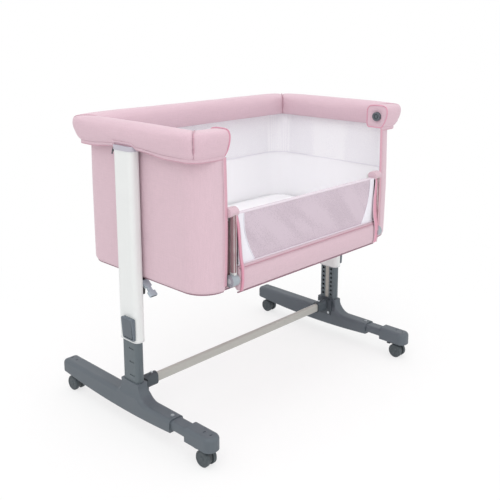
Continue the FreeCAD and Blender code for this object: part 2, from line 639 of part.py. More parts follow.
def make_cross_bar():
    """The flat-oval bar between the feet, its two sockets and their screws."""
    plate_face = "-leg_reach + foot_width / 2"
    tip = f"{plate_face} + socket_plate + socket_length"
    reach = "leg_reach - foot_width / 2 - socket_plate - socket_length + socket_depth"
    bar = body_of("cross", "0", "0", "cross_height")
    section = sketch_on(bar, "cross_section", "YZ_Plane")
    outline(section, rounded(across("cross_deep"), across("cross_tall"),
                             "cross_deep / 2 - cross_flat"))
    outline(section, rounded(across("cross_deep - 2 * cross_wall"),
                             across("cross_tall - 2 * cross_wall"),
                             "cross_deep / 2 - cross_flat - cross_wall"))
    pad(bar, section, f"2 * ({reach})", midplane=True)
    doc.recompute()
    node(bar, "cross_bar")
    plate = box("socket_flange", (plate_face, f"{plate_face} + socket_plate"),
                ("-plate_half", "plate_half"), ("plate_low", "plate_high"))
    sleeve = body_of("socket_sleeve", plate_face, "0", "cross_height")
    ring_face = sketch_on(sleeve, "socket_outline", "YZ_Plane")
    outline(ring_face, rounded(across("socket_deep"), across("socket_tall"),
                               "socket_deep / 2 - socket_flat"))
    pad(sleeve, ring_face, "socket_plate + socket_length")
    mouth = sketch_on(sleeve, "socket_mouth", "YZ_Plane",
                      "socket_plate + socket_length - socket_depth")
    outline(mouth, rounded(across("cross_deep + 2 * seat_gap"), across("cross_tall + 2 * seat_gap"),
                           "cross_deep / 2 - cross_flat + seat_gap"))
    pocket(sleeve, mouth, "socket_depth + beyond", reverse=True)
    doc.recompute()
    pair(fuse("bar_socket", plate, sleeve), "bar_sockets")
    heads = [rod(f"plate_screw{count}", "x", "screw_radius", f"{plate_face} + socket_plate",
                 f"{plate_face} + socket_plate + screw_head",
                 (place, "plate_low + 2 * screw_radius"))
             for count, place in enumerate(("-plate_half + 2 * screw_radius",
                                            "plate_half - 2 * screw_radius"))]
    grub = rod("socket_grub", "z", "screw_radius", "cross_height + socket_tall / 2",
               "cross_height + socket_tall / 2 + screw_head",
               (f"{tip} - socket_depth / 2", "0"))
    screws = doc.addObject("Part::Compound", "screws")
    screws.Links = heads + [grub]
    pair(screws, "stand_screws")


# ---------------------------------------------------------------- outer posts and height release
OUTER_FACE = "-leg_reach - post_depth / 2"


def make_outer_post():
    """The painted flat-oval tube that rides on the lower post, with its bushing."""
    post = upright("outer_post", across("post_depth"), across("post_width"), "post_round",
                   "post_foot_height", "post_top_height", (LEG, "0"))
    bore = sketch_on(post, "outer_post_bore", "XY_Plane")
    outline(bore, rounded(across("post_depth - 2 * post_wall"), across("post_width - 2 * post_wall"),
                          "post_round - post_wall"))
    pocket(post, bore, reverse=True)
    hole = sketch_on(post, "bolt_hole", "YZ_Plane")
    ring(hole, "bolt_radius + seat_gap", "-bolt_shift", "bolt_height - post_foot_height")
    pocket(post, hole, "post_depth")
    node(post, "outer_post_left")
    bushing = upright("bushing", across("post_depth - 2 * post_wall - 2 * turn_gap"),
                      across("post_width - 2 * post_wall - 2 * turn_gap"),
                      "post_round - post_wall - turn_gap",
                      "post_foot_height - bushing_lip_height",
                      "post_foot_height + bushing_height", (LEG, "0"))
    lip = sketch_on(bushing, "bushing_lip", "XY_Plane")
    outline(lip, rounded(across("post_depth + 2 * bushing_lip_proud"),
                         across("post_width + 2 * bushing_lip_proud"),
                         "post_round + bushing_lip_proud"))
    pad(bushing, lip, "bushing_lip_height")
    channel = sketch_on(bushing, "bushing_bore", "XY_Plane", "-beyond")
    outline(channel, rounded(across("inner_post_depth + 2 * slide_gap"),
                             across("inner_post_width + 2 * slide_gap"),
                             "inner_post_round + slide_gap"))
    pocket(bushing, channel, reverse=True)
    hole = sketch_on(bushing, "bushing_bolt_hole", "YZ_Plane")
    ring(hole, "bolt_radius + seat_gap", "-bolt_shift",
         "bolt_height - post_foot_height + bushing_lip_height")
    pocket(bushing, hole, "post_depth")
    pair(bushing, "post_bushings")


def make_release():
    """The wedge-shaped release: its frame, the lever that is pulled, and the bolt behind it."""
    slope = "(release_thick - release_thin) / (release_high - release_low)"
    flank = f"{OUTER_FACE} - release_thin - {slope} *"
    housing = body_of("release_housing", "0", "(release_back - release_front) / 2")
    wedge = sketch_on(housing, "release_wedge", "XZ_Plane")
    outline(wedge, [(OUTER_FACE, "release_low"), (f"{OUTER_FACE} - release_thin", "release_low"),
                    (f"{OUTER_FACE} - release_thick", "release_high"), (OUTER_FACE, "release_high")])
    pad(housing, wedge, "release_front + release_back", midplane=True)
    round_edges(housing, "release_round",
                lambda edge: edge.YLength < NEAR and edge.ZLength < NEAR, "release_rounding")
    window = sketch_on(housing, "release_window", "XZ_Plane")
    outline(window, [
        (f"{OUTER_FACE} - release_floor", "release_low + window_margin"),
        (f"{OUTER_FACE} - release_thick - beyond", "release_low + window_margin"),
        (f"{OUTER_FACE} - release_thick - beyond", "release_high - window_margin"),
        (f"{OUTER_FACE} - release_floor", "release_high - window_margin")])
    pocket(housing, window, "release_front + release_back - 2 * release_rim", midplane=True)
    hole = sketch_on(housing, "release_bolt_hole", "YZ_Plane", f"{OUTER_FACE} - beyond")
    ring(hole, "bolt_radius + seat_gap", "-bolt_shift - (release_back - release_front) / 2",
         "bolt_height")
    pocket(housing, hole, "2 * beyond", midplane=True)
    pin_hole = rod("lever_pin_hole", "y", "lever_pin + turn_gap", "-release_front - beyond",
                   "release_back + beyond",
                   (f"{OUTER_FACE} - lever_pivot_out", "lever_pivot_height"))
    pair(cut("release_frame", housing, pin_hole), "release_housings")
    ends = ("-release_front + release_rim + slide_gap", "release_back - release_rim - slide_gap")
    lever = body_of("lever_blade", "0", f"({ends[0]} + {ends[1]}) / 2")
    blade = sketch_on(lever, "lever_profile", "XZ_Plane")
    eye_x = f"{OUTER_FACE} - lever_pivot_out"
    top = "release_high - window_margin - slide_gap"
    outline(blade, [
        (f"{eye_x} - lever_eye", "lever_pivot_height"),
        (eye_x, "lever_pivot_height - lever_eye", f"{eye_x} + lever_eye * sqrt(0.5)",
         "lever_pivot_height + lever_eye * sqrt(0.5)"),
        (f"{OUTER_FACE} - lever_under", f"lever_pivot_height + 3 * lever_eye"),
        (f"{OUTER_FACE} - lever_under", top),
        (f"{flank} (release_high - release_low - window_margin)", top),
    ])
    pad(lever, blade, f"({ends[1]}) - ({ends[0]})", midplane=True)
    pin = rod("lever_pin_rod", "y", "lever_pin", "-release_front", "release_back",
              (eye_x, "lever_pivot_height"))
    node(fuse("lever", lever, pin), "release_lever_left")
    bolt = rod("bolt", "x", "bolt_radius", f"{OUTER_FACE} - bolt_head",
               "-leg_reach - inner_post_depth / 2 - slide_gap", ("-bolt_shift", "bolt_height"))
    node(bolt, "latch_bolt_left")


# ---------------------------------------------------------------- rim
MITRE = 0.4           # how far the mitre planes reach in, as a share of the rim's half length
CORNER_SPLIT = 0.3    # where a corner of the cover is sewn, as a share of its radius
RIM_LEVEL = "(rim_low + rim_high) / 2"
RETURN_LINE = "-rim_front + pad_width / 2"
BACK_LINE = "rim_back - pad_width / 2"
END_LINE = "-rim_half_length + pad_width / 2"


def rim_path():
    """The centre line of the rim tube, from the left return round the back to the right one."""
    bite = "rim_tube_bend * (1 - sqrt(0.5))"
    far = f"-({END_LINE})"
    return [
        ("-receiver_seat", RETURN_LINE),
        (f"{END_LINE} + rim_tube_bend", RETURN_LINE),
        (f"{END_LINE} + {bite}", f"{RETURN_LINE} + {bite}", END_LINE, f"{RETURN_LINE} + rim_tube_bend"),
        (END_LINE, f"{BACK_LINE} - rim_tube_bend"),
        (f"{END_LINE} + {bite}", f"{BACK_LINE} - {bite}", f"{END_LINE} + rim_tube_bend", BACK_LINE),
        (f"{far} - rim_tube_bend", BACK_LINE),
        (f"{far} - {bite}", f"{BACK_LINE} - {bite}", far, f"{BACK_LINE} - rim_tube_bend"),
        (far, f"{RETURN_LINE} + rim_tube_bend"),
        (f"{far} - {bite}", f"{RETURN_LINE} + {bite}", f"{far} - rim_tube_bend", RETURN_LINE),
        ("receiver_seat", RETURN_LINE),
    ]


def make_rim_tube():
    node(bent_tube("rim", rim_path(), False, RIM_LEVEL, "rim_tube_radius", "rim_tube_wall",
                   ("-receiver_seat", RETURN_LINE)), "top_frame_tube")


def make_cap():
    """The grey cap on the outer post, with the saddle that carries the rim tube."""
    cap = upright("cap", across("cap_depth"), across("cap_width"), "post_round + cap_round",
                  "post_top_height", "post_top_height + cap_height", (LEG, "0"))
    plug = sketch_on(cap, "cap_plug_plan", "XY_Plane")
    outline(plug, rounded(across("post_depth - 2 * post_wall - 2 * turn_gap"),
                          across("post_width - 2 * post_wall - 2 * turn_gap"),
                          "post_round - post_wall - turn_gap"))
    pad(cap, plug, "cap_plug", reverse=True)
    doc.recompute()
    saddle = box("saddle", ("-leg_reach - saddle_out / 2", f"{END_LINE} + saddle_out"),
                 ("-saddle_half", "saddle_half"),
                 ("post_top_height + cap_height - beyond", RIM_LEVEL))
    seat = rod("saddle_seat", "y", "rim_tube_radius", "-saddle_half - beyond",
               "saddle_half + beyond", (END_LINE, RIM_LEVEL))
    pair(cut("post_cap", fuse("cap_blank", cap, saddle), seat), "post_caps")


def make_receiver():
    """The round socket at the end of each return, with a recessed ring round its centre."""
    place = (RETURN_LINE, RIM_LEVEL)
    shell = rod("receiver_shell", "x", "receiver_radius", "-receiver_seat", "-receiver_face", place)
    recess = rod("receiver_recess_tool", "x", "receiver_ring", "-receiver_face - receiver_recess",
                 "-receiver_face + beyond", place)
    core = rod("receiver_core_pin", "x", "receiver_core", "-receiver_face - receiver_recess",
               "-receiver_face - receiver_core_back", place)
    pair(fuse("receiver", cut("receiver_ring_cut", shell, recess), core), "rail_receivers")


def make_pads():
    """The padded sleeve of the rim, crowned in section and cut into five sewn panels."""
    stock = body_of("pad_stock", "0", "0", "rim_low")
    plan = sketch_on(stock, "pad_plan", "XY_Plane")
    outer_bite = "rim_corner * (1 - sqrt(0.5))"
    inner_bite = "rim_inner_corner * (1 - sqrt(0.5))"
    inner_x = "rim_half_length - pad_width"
    inner_front = "-rim_front + pad_width"
    inner_back = "rim_back - pad_width"
    outline(plan, [
        ("-return_end", "-rim_front"),
        ("-rim_half_length + rim_corner", "-rim_front"),
        (f"-rim_half_length + {outer_bite}", f"-rim_front + {outer_bite}",
         "-rim_half_length", "-rim_front + rim_corner"),
        ("-rim_half_length", "rim_back - rim_corner"),
        (f"-rim_half_length + {outer_bite}", f"rim_back - {outer_bite}",
         "-rim_half_length + rim_corner", "rim_back"),
        ("rim_half_length - rim_corner", "rim_back"),
        (f"rim_half_length - {outer_bite}", f"rim_back - {outer_bite}",
         "rim_half_length", "rim_back - rim_corner"),
        ("rim_half_length", "-rim_front + rim_corner"),
        (f"rim_half_length - {outer_bite}", f"-rim_front + {outer_bite}",
         "rim_half_length - rim_corner", "-rim_front"),
        ("return_end", "-rim_front"),
        ("return_end", inner_front),
        (f"{inner_x} - rim_inner_corner", inner_front),
        (f"{inner_x} - {inner_bite}", f"{inner_front} + {inner_bite}",
         inner_x, f"{inner_front} + rim_inner_corner"),
        (inner_x, f"{inner_back} - rim_inner_corner"),
        (f"{inner_x} - {inner_bite}", f"{inner_back} - {inner_bite}",
         f"{inner_x} - rim_inner_corner", inner_back),
        (f"-({inner_x}) + rim_inner_corner", inner_back),
        (f"-({inner_x}) + {inner_bite}", f"{inner_back} - {inner_bite}",
         f"-({inner_x})", f"{inner_back} - rim_inner_corner"),
        (f"-({inner_x})", f"{inner_front} + rim_inner_corner"),
        (f"-({inner_x}) + {inner_bite}", f"{inner_front} + {inner_bite}",
         f"-({inner_x}) + rim_inner_corner", inner_front),
        ("-return_end", inner_front),
    ])
    pad(stock, plan, "rim_high - rim_low")
    tall = value("rim_high - rim_low")
    end = value("return_end")

    def inner(edge):
        centre_x = abs(edge.XMin + edge.XMax) / 2
        return (edge.YMin > value(inner_front) - NEAR and edge.YMax < value(inner_back) + NEAR
                and max(abs(edge.XMin), abs(edge.XMax)) < value(inner_x) + NEAR
                and not (edge.XLength < NEAR and abs(centre_x - end) < NEAR))

    def outer(edge):
        return not inner(edge) and not (edge.XLength < NEAR and abs(abs(edge.XMin) - end) < NEAR)

    for radius, level, side, name in (
            ("crown_outer", tall, outer, "crown_outside"),
            ("crown_inner", tall, inner, "crown_inside"),
            ("belly_outer", 0, outer, "belly_outside"),
            ("belly_inner", 0, inner, "belly_inside")):
        round_edges(stock, radius, lambda edge: (
            edge.ZLength < NEAR and abs(edge.ZMin - level) < NEAR and side(edge)), name)
    hollow = [bent_tube_core()]
    for hand, sign in (("left", "-"), ("right", "")):
        x = [f"{sign}(leg_reach - cap_depth / 2 - cloth_gap)",
             f"{sign}(leg_reach + cap_depth / 2 + cloth_gap)"]
        low, high = (x[1], x[0]) if sign == "-" else (x[0], x[1])
        hollow.append(box(f"cap_room_{hand}", (low, high),
                          ("-cap_width / 2 - cloth_gap", "cap_width / 2 + cloth_gap"),
                          ("rim_low - beyond", "post_top_height + cap_height + cloth_gap")))
        near = "rim_half_length - pad_width / 2 - saddle_out - cloth_gap"
        far = "leg_reach + saddle_out / 2 + cloth_gap"
        span = (f"-({far})", f"-({near})") if sign == "-" else (near, far)
        hollow.append(box(f"saddle_room_{hand}", span,
                          ("-saddle_half - cloth_gap", "saddle_half + cloth_gap"),
                          ("rim_low - beyond", f"{RIM_LEVEL} + cloth_gap")))
        seat = (f"{sign}return_end", f"{sign}(receiver_seat + cloth_gap)")
        low, high = seat[0] + " - beyond", seat[1]
        if sign == "-":
            low, high = seat[1], seat[0] + " + beyond"
        hollow.append(rod(f"receiver_room_{hand}", "x", "receiver_radius + cloth_gap", low, high,
                          (RETURN_LINE, RIM_LEVEL)))
    sleeve = cut("pad_sleeve", stock, *hollow)
    slabs = {"rim_pad_back": sector("back", "mitre"), "rim_pad_left": sector("left", "mitre"),
             "rim_pad_front": sector("front_left", "mitre")}
    for name, slab in slabs.items():
        panel = common(f"{name}_panel", sleeve, slab)
        if name == "rim_pad_front":
            pair(panel, "rim_pad_returns")
        else:
            node(panel, name)


def bent_tube_core():
    """The room for the rim tube inside the pads: the tube's outside plus a cloth gap."""
    path = doc.getObject("rim_path")
    circle = doc.addObject("Part::Circle", "pad_bore_ring")
    bind(circle, "Radius", "rim_tube_radius + cloth_gap")
    circle.Placement = FreeCAD.Placement(FreeCAD.Vector(), TURNS["x"])
    for axis, text in zip("xyz", ("-receiver_seat", RETURN_LINE, RIM_LEVEL)):
        bind(circle, f"Placement.Base.{axis}", text)
    sweep = doc.addObject("Part::Sweep", "pad_bore")
    sweep.Sections = [circle]
    sweep.Spine = (path, [f"Edge{count}" for count in range(1, len(path.Shape.Edges) + 1)])
    sweep.Solid = True
    return sweep


def sector(side, name):
    """The part of the plan between two mitre lines at 45 degrees, as a tall prism."""
    front, back, end = "-rim_front", "rim_back", "-rim_half_length"
    bite = f"rim_half_length * {MITRE}"
    plans = {
        "back": [(end, back), (f"{end} + {bite}", f"{back} - {bite}"),
                 (f"-({end}) - {bite}", f"{back} - {bite}"),
                 (f"-({end})", back), (f"-({end})", f"{back} + beyond"), (end, f"{back} + beyond")],
        "left": [(end, back), (f"{end} - beyond", back), (f"{end} - beyond", front), (end, front),
                 (f"{end} + {bite}", f"{front} + {bite}"),
                 (f"{end} + {bite}", f"{back} - {bite}")],
        "front_left": [(end, front), (end, f"{front} - beyond"), ("0", f"{front} - beyond"),
                       ("0", f"{front} + {bite}"),
                       (f"{end} + {bite}", f"{front} + {bite}")],
    }
    prism = body_of(f"{name}_{side}", "0", "0", "cover_low - beyond")
    plan = sketch_on(prism, f"{name}_{side}_plan", "XY_Plane")
    outline(plan, plans[side])
    pad(prism, plan, "rim_high - cover_low + 2 * beyond")
    doc.recompute()
    return prism


# ---------------------------------------------------------------- bassinet cover, base, mattress
def make_cover():
    """The sewn cover: a tray with a rounded bottom edge, and walls up to the rim."""
    solids = []
    for layer, inset in (("skin", "0"), ("room", "cover_thick")):
        solid = upright(f"cover_{layer}", (f"-cover_end + {inset}", f"cover_end - ({inset})"),
                        (f"-cover_front + {inset}", f"cover_back - ({inset})"),
                        f"cover_corner - ({inset})", f"cover_low + {inset}",
                        "rim_low" if layer == "skin" else "rim_low + beyond")
        round_edges(solid, f"cover_bottom_round - ({inset})",
                    lambda edge: edge.ZLength < NEAR and edge.ZMax < NEAR, f"cover_{layer}_edge")
        solids.append(solid)
    opening = box("cover_opening", ("-front_gap", "front_gap"),
                  ("-cover_front - beyond", "-gate_post_out - base_tube_radius - cloth_gap"),
                  ("cover_low - beyond", "rim_low + 2 * beyond"))
    holes = [rod(f"cover_hole{count}", "x", "frame_bolt_radius + cloth_gap",
                 "-cover_end - beyond", "cover_end + beyond", (place, "base_tube_height"))
             for count, place in enumerate(("-frame_bolt_spread", "frame_bolt_spread"))]
    shell = cut("cover_shell", *solids, opening, *holes)
    split = "cover_low + tray_height"
    everything = (("-rim_half_length", "rim_half_length"), ("-rim_front", "rim_back"))
    node(common("cover_tray", shell, box("tray_zone", *everything, ("cover_low - beyond", split))),
         "cover_bottom")
    walls = common("cover_walls", shell, box("wall_zone", *everything, (split, "rim_low")))
    corner = f"cover_corner * {CORNER_SPLIT}"
    zones = {
        "cover_back": ((f"-cover_end + {corner}", f"cover_end - {corner}"),
                       (f"cover_back - {corner}", "rim_back")),
        "cover_front": ((f"-cover_end + {corner}", "0"),
                        ("-rim_front", f"-cover_front + {corner}")),
    }
    for name, (x, y) in zones.items():
        panel = common(f"{name}_panel", walls, box(f"{name}_zone", x, y, (split, "rim_low")))
        if name == "cover_front":
            pair(panel, "cover_returns")
        else:
            node(panel, name)
    side = box("cover_left_zone", ("-rim_half_length", "0"), ("-rim_front", "rim_back"),
               (split, "rim_low"))
    rest = box("cover_left_rest", (f"-cover_end + {corner}", "beyond"),
                ("-rim_front - beyond", "rim_back + beyond"), ("cover_low", "rim_low + beyond"))
    node(common("cover_left_panel", walls, cut("cover_left_keep", side, rest)), "cover_left")


def make_base():
    """The bent base tube, the board on it, the mattress and the bolts to the posts."""
    bite = "base_tube_bend * (1 - sqrt(0.5))"
    near, far = "-base_tube_end", "base_tube_end"
    front, back = "-gate_post_out", "base_tube_back"
    bend = "base_tube_bend"
    path = [
        ("0", front), (f"{far} - {bend}", front),
        (f"{far} - {bite}", f"{front} + {bite}", far, f"{front} + {bend}"),
        (far, f"{back} - {bend}"),
        (f"{far} - {bite}", f"{back} - {bite}", f"{far} - {bend}", back),
        (f"{near} + {bend}", back),
        (f"{near} + {bite}", f"{back} - {bite}", near, f"{back} - {bend}"),
        (near, f"{front} + {bend}"),
        (f"{near} + {bite}", f"{front} + {bite}", f"{near} + {bend}", front),
    ]
    node(bent_tube("base", path, True, "base_tube_height", "base_tube_radius", "base_tube_wall",
                   ("0", front)), "base_frame_tube")
    board_low = "base_tube_height + base_tube_radius"
    node(upright("board", ("-board_end", "board_end"), ("-board_front", "board_back"),
                 "soft_corner", board_low, f"{board_low} + board_thick"), "base_board")
    mattress = upright("mattress_slab", ("-mattress_end", "mattress_end"),
                       ("-mattress_front", "mattress_back"), "soft_corner",
                       f"{board_low} + board_thick", "mattress_top")
    round_edges(mattress, "mattress_edge", lambda edge: edge.ZLength < NEAR, "mattress_crown")
    node(mattress, "mattress")
    bolts = []
    for hand, sign in (("left", "-"), ("right", "")):
        for count, place in enumerate(("-frame_bolt_spread", "frame_bolt_spread")):
            tube_side = f"{sign}(base_tube_end + base_tube_radius)"
            post_side = f"{sign}(leg_reach - post_depth / 2)"
            low, high = (post_side, tube_side) if sign == "-" else (tube_side, post_side)
            bolts.append(rod(f"frame_bolt_{hand}{count}", "x", "frame_bolt_radius", low, high,
                             (place, "base_tube_height")))
    group = doc.addObject("Part::Compound", "bolts")
    group.Links = bolts
    node(group, "frame_bolts")


# ---------------------------------------------------------------- folding front
RAIL_LINE = "-elbow_out - gate_offset"
RAIL_LEVEL = "elbow_height - gate_drop"
ELBOW = ("-elbow_out", "elbow_height")


def make_gate_post():
    """The short fixed post with the two lugs of the elbow hinge."""
    tube = rod("gate_post_tube", "z", "gate_post_radius", "base_tube_height", "gate_post_top",
               ("-gate_post_place", "-gate_post_out"))
    parts = [tube]
    for side in ("-", "+"):
        near = f"-gate_post_place {side} (arm_half + lug_gap)"
        far = f"-gate_post_place {side} (arm_half + lug_gap + lug_thick)"
        x = (far, near) if side == "-" else (near, far)
        parts.append(rod(f"lug_disc{len(parts)}", "x", "elbow_eye", *x, ELBOW))
        parts.append(box(f"lug_web{len(parts)}", x,
                         ("-elbow_out", "-gate_post_out + gate_post_radius - lug_bite"),
                         ("gate_post_top - lug_web_drop", "elbow_height")))
    bridge = box("lug_bridge", ("-gate_post_place - arm_half - lug_gap - lug_thick",
                                "-gate_post_place + arm_half + lug_gap + lug_thick"),
                 ("-gate_post_out - gate_post_radius + lug_bite",
                  "-gate_post_out + gate_post_radius - lug_bite"),
                 ("gate_post_top - lug_web_drop", "gate_post_top"))
    blank = fuse("gate_post_blank", *parts, bridge)
    seat = rod("gate_post_seat", "x", "base_tube_radius", "-front_gap", "-gate_mesh_end",
               ("-gate_post_out", "base_tube_height"))
    pin_hole = rod("lug_hole", "x", "elbow_pin + turn_gap / 2", "-front_gap", "-gate_mesh_end",
                   ELBOW)
    pair(cut("gate_post", blank, seat, pin_hole), "gate_posts")


def make_elbow_pins():
    pins = []
    for hand, sign in (("left", "-"), ("right", "")):
        reach = "(arm_half + lug_gap + lug_thick + slide_gap)"
        middle = f"{sign}gate_post_place"
        shank = rod(f"pin_shank_{hand}", "x", "elbow_pin", f"{middle} - {reach} - pin_head_thick",
                    f"{middle} + {reach} + pin_head_thick", ELBOW)
        heads = [rod(f"pin_head_{hand}{count}", "x", "pin_head", low, high, ELBOW)
                 for count, (low, high) in enumerate((
                     (f"{middle} - {reach} - pin_head_thick", f"{middle} - {reach}"),
                     (f"{middle} + {reach}", f"{middle} + {reach} + pin_head_thick")))]
        pins.append(fuse(f"pin_{hand}", shank, *heads))
    group = doc.addObject("Part::Compound", "pins")
    group.Links = pins
    node(group, "elbow_pins")


def make_gate():
    """The folding half: arms, rail, hubs with latch buttons, padded rail and mesh panel."""
    arm_x = ("-gate_post_place - arm_half", "-gate_post_place + arm_half")
    bar = box("arm_bar", arm_x, (f"{RAIL_LINE} - arm_width / 2", f"{RAIL_LINE} + arm_width / 2"),
              (RAIL_LEVEL, "elbow_height - arm_start"))
    eye = rod("arm_eye", "x", "elbow_eye", *arm_x, ELBOW)
    web = box("arm_web", arm_x, (f"{RAIL_LINE} - arm_width / 2", "-elbow_out"),
              ("elbow_height - 2 * arm_start", "elbow_height"))
    hole = rod("arm_hole", "x", "elbow_pin + turn_gap", f"{arm_x[0]} - beyond",
               f"{arm_x[1]} + beyond", ELBOW)
    arm = cut("gate_arm", fuse("arm_blank", bar, eye, web), hole)
    pair(arm, "gate_arms")
    rail_place = (RAIL_LINE, RAIL_LEVEL)
    skin = rod("rail_skin", "x", "rail_radius", "-hub_inner", "hub_inner", rail_place)
    bore = rod("rail_bore", "x", "rail_radius - rail_wall", "-hub_inner - beyond",
               "hub_inner + beyond", rail_place)
    node(cut("rail", skin, bore), "gate_rail")
    drum = rod("hub_drum", "x", "hub_radius", "-hub_outer", "-hub_inner", rail_place)
    button_room = rod("hub_button_room", "x", "hub_button_radius + seat_gap",
                      "-hub_outer - beyond", "-hub_outer + hub_button_length", rail_place)
    arm_room = box("hub_arm_room", arm_x,
                   (f"{RAIL_LINE} - arm_width / 2", f"{RAIL_LINE} + arm_width / 2"),
                   (RAIL_LEVEL, f"{RAIL_LEVEL} + hub_radius + beyond"))
    pair(cut("hub", drum, arm_room, button_room), "gate_hubs")
    button = rod("hub_button", "x", "hub_button_radius", "-hub_outer",
                 "-hub_outer + hub_button_length / 2", rail_place)
    node(button, "gate_button_left")
    pad_y = (f"{RAIL_LINE} - rail_pad_thick / 2", f"{RAIL_LINE} + rail_pad_thick / 2")
    soft = body_of("rail_pad_body", "0", RAIL_LINE, RAIL_LEVEL)
    section = sketch_on(soft, "rail_pad_section", "YZ_Plane")
    outline(section, rounded(across("rail_pad_thick"), ("-rail_pad_down", "rail_pad_up"),
                             "rail_pad_edge"))
    ring(section, "rail_radius + cloth_gap")
    pad(soft, section, "2 * rail_pad_end", midplane=True)
    doc.recompute()
    node(soft, "gate_rail_pad")
    node(box("gate_mesh", ("-gate_mesh_end", "gate_mesh_end"),
             (f"{RAIL_LINE} - gate_mesh_thick / 2", f"{RAIL_LINE} + gate_mesh_thick / 2"),
             (f"{RAIL_LEVEL} + rail_pad_up", "elbow_height - cloth_gap")), "gate_mesh_panel")
    node(box("barrier", ("-gate_mesh_end", "gate_mesh_end"),
             ("-gate_post_out - base_tube_radius - cloth_gap - barrier_thick",
              "-gate_post_out - base_tube_radius - cloth_gap"),
             ("cover_low", "elbow_height - cloth_gap")), "barrier_panel")


def make_strap():
    """Half of a side-release buckle that hangs aslant under the left end, and its webbing."""
    buckle_x = ("-buckle_place - buckle_width / 2", "-buckle_place + buckle_width / 2")
    high = "cover_low - strap_thick"
    frame = box("buckle_frame", buckle_x, ("-buckle_front", "-buckle_back"),
                (f"{high} - buckle_thick", high))
    slot = box("buckle_slot_room", (f"{buckle_x[0]} + buckle_side", f"{buckle_x[1]} - buckle_side"),
               ("-buckle_front + buckle_bar", "-buckle_front + buckle_bar + buckle_slot"),
               (f"{high} - buckle_thick - beyond", f"{high} + beyond"))
    hung = ("strap_tilt", "-strap_back", "cover_low")
    node(tilt(cut("buckle", frame, slot), *hung), "strap_buckle")
    strap_x = ("-buckle_place - strap_width / 2", "-buckle_place + strap_width / 2")
    flat = box("strap_flat", strap_x, ("-buckle_front + buckle_bar", "-strap_back"),
               (high, "cover_low"))
    tilt(flat, *hung, own=("-buckle_front + buckle_bar", high))
    tail = box("strap_tail", strap_x, ("-strap_back", "-strap_back + strap_thick"),
               ("cover_low - strap_drop", "cover_low"))
    node(fuse("strap", flat, tail), "strap_webbing")


make_foot()
make_extension()
make_lock_button()
make_castor("front", "-")
make_castor("rear", "")
make_brake()
make_lower_post()
make_lower_post_fittings()
make_cross_bar()
make_outer_post()
make_release()
make_rim_tube()
make_cap()
make_receiver()
make_pads()
make_cover()
make_base()
make_gate_post()
make_elbow_pins()
make_gate()
make_strap()
doc.recompute()
for left_name in [name for name in NODES if name.endswith("_left")]:
    twin(left_name)
doc.recompute()

for item in doc.Objects:
    if "Invalid" in item.State or "Error" in item.State:
        raise ValueError(f"{item.Name} failed: {item.State}")
os.makedirs("parts", exist_ok=True)
for name, item in NODES.items():
    if item.Shape.isNull() or not item.Shape.isValid():
        raise ValueError(f"{name} has no valid shape")
    item.Shape.exportStep(f"parts/{name}.step")
print(f"{len(NODES)} sub-parts written")
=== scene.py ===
"""Bedside sleeper crib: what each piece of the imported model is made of, and its sewn covers.

Blender works in metres; the sizes below are written in millimetres, as the makers of furniture
write them, and piece() turns them into metres.
"""
import math

import bmesh
import bpy
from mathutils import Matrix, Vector, noise


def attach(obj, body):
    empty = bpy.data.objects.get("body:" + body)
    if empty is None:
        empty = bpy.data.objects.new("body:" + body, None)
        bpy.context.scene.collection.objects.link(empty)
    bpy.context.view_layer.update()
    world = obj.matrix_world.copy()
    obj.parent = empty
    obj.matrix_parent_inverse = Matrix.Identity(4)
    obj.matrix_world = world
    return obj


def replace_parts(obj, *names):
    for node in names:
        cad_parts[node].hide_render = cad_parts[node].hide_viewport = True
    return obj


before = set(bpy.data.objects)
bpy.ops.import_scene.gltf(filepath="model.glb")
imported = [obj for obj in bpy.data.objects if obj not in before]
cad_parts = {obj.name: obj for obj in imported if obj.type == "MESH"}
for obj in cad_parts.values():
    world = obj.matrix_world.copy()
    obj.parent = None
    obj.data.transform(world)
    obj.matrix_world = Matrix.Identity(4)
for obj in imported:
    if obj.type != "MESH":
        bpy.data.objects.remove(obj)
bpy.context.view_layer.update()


# ------------------------------------------------------------------ camera, light and floor
# The crib stands on a pale studio floor and is seen from its front left corner, a little from
# above. The light is plain: a bright room with one large soft lamp over the camera's left.
def in_scene(name, data):
    """A new object that holds some data, linked to the scene."""
    made = bpy.data.objects.new(name, data)
    bpy.context.scene.collection.objects.link(made)
    return made


def look(thing, way):
    """Point a camera or a lamp in a direction."""
    thing.rotation_mode = "QUATERNION"
    thing.rotation_quaternion = way.to_track_quat("-Z", "Y")


camera = in_scene("camera", bpy.data.cameras.new("camera"))
bpy.context.scene.camera = camera
bpy.context.scene.view_settings.view_transform = "Standard"
yaw, pitch = 0.8044, -0.2127
camera.location = (-1.6156, -1.5810, 1.1300)
forward = Vector((math.sin(yaw) * math.cos(pitch), math.cos(yaw) * math.cos(pitch),
                  math.sin(pitch)))
look(camera, forward)
camera.data.sensor_width = 36
camera.data.lens = 53.63
camera.data.shift_y = -0.14


def linear(code):
    """An sRGB hex colour as the linear numbers that a shader takes."""
    parts = [int(code[place:place + 2], 16) / 255 for place in (1, 3, 5)]
    return (*[part / 12.92 if part <= 0.04045 else ((part + 0.055) / 1.055) ** 2.4
              for part in parts], 1)


def add(tree, kind, inputs=None, **settings):
    """Add a node, set its own settings, and fill or link its inputs."""
    made = tree.nodes.new(kind)
    for key, setting in settings.items():
        setattr(made, key, setting)
    for key, given in (inputs or {}).items():
        if isinstance(given, bpy.types.NodeSocket):
            tree.links.new(given, made.inputs[key])
        else:
            made.inputs[key].default_value = given
    return made


def blank(name):
    """A new material with an empty node tree and its output node."""
    material = bpy.data.materials.new(name)
    material.use_nodes = True
    material.node_tree.nodes.clear()
    return material, material.node_tree


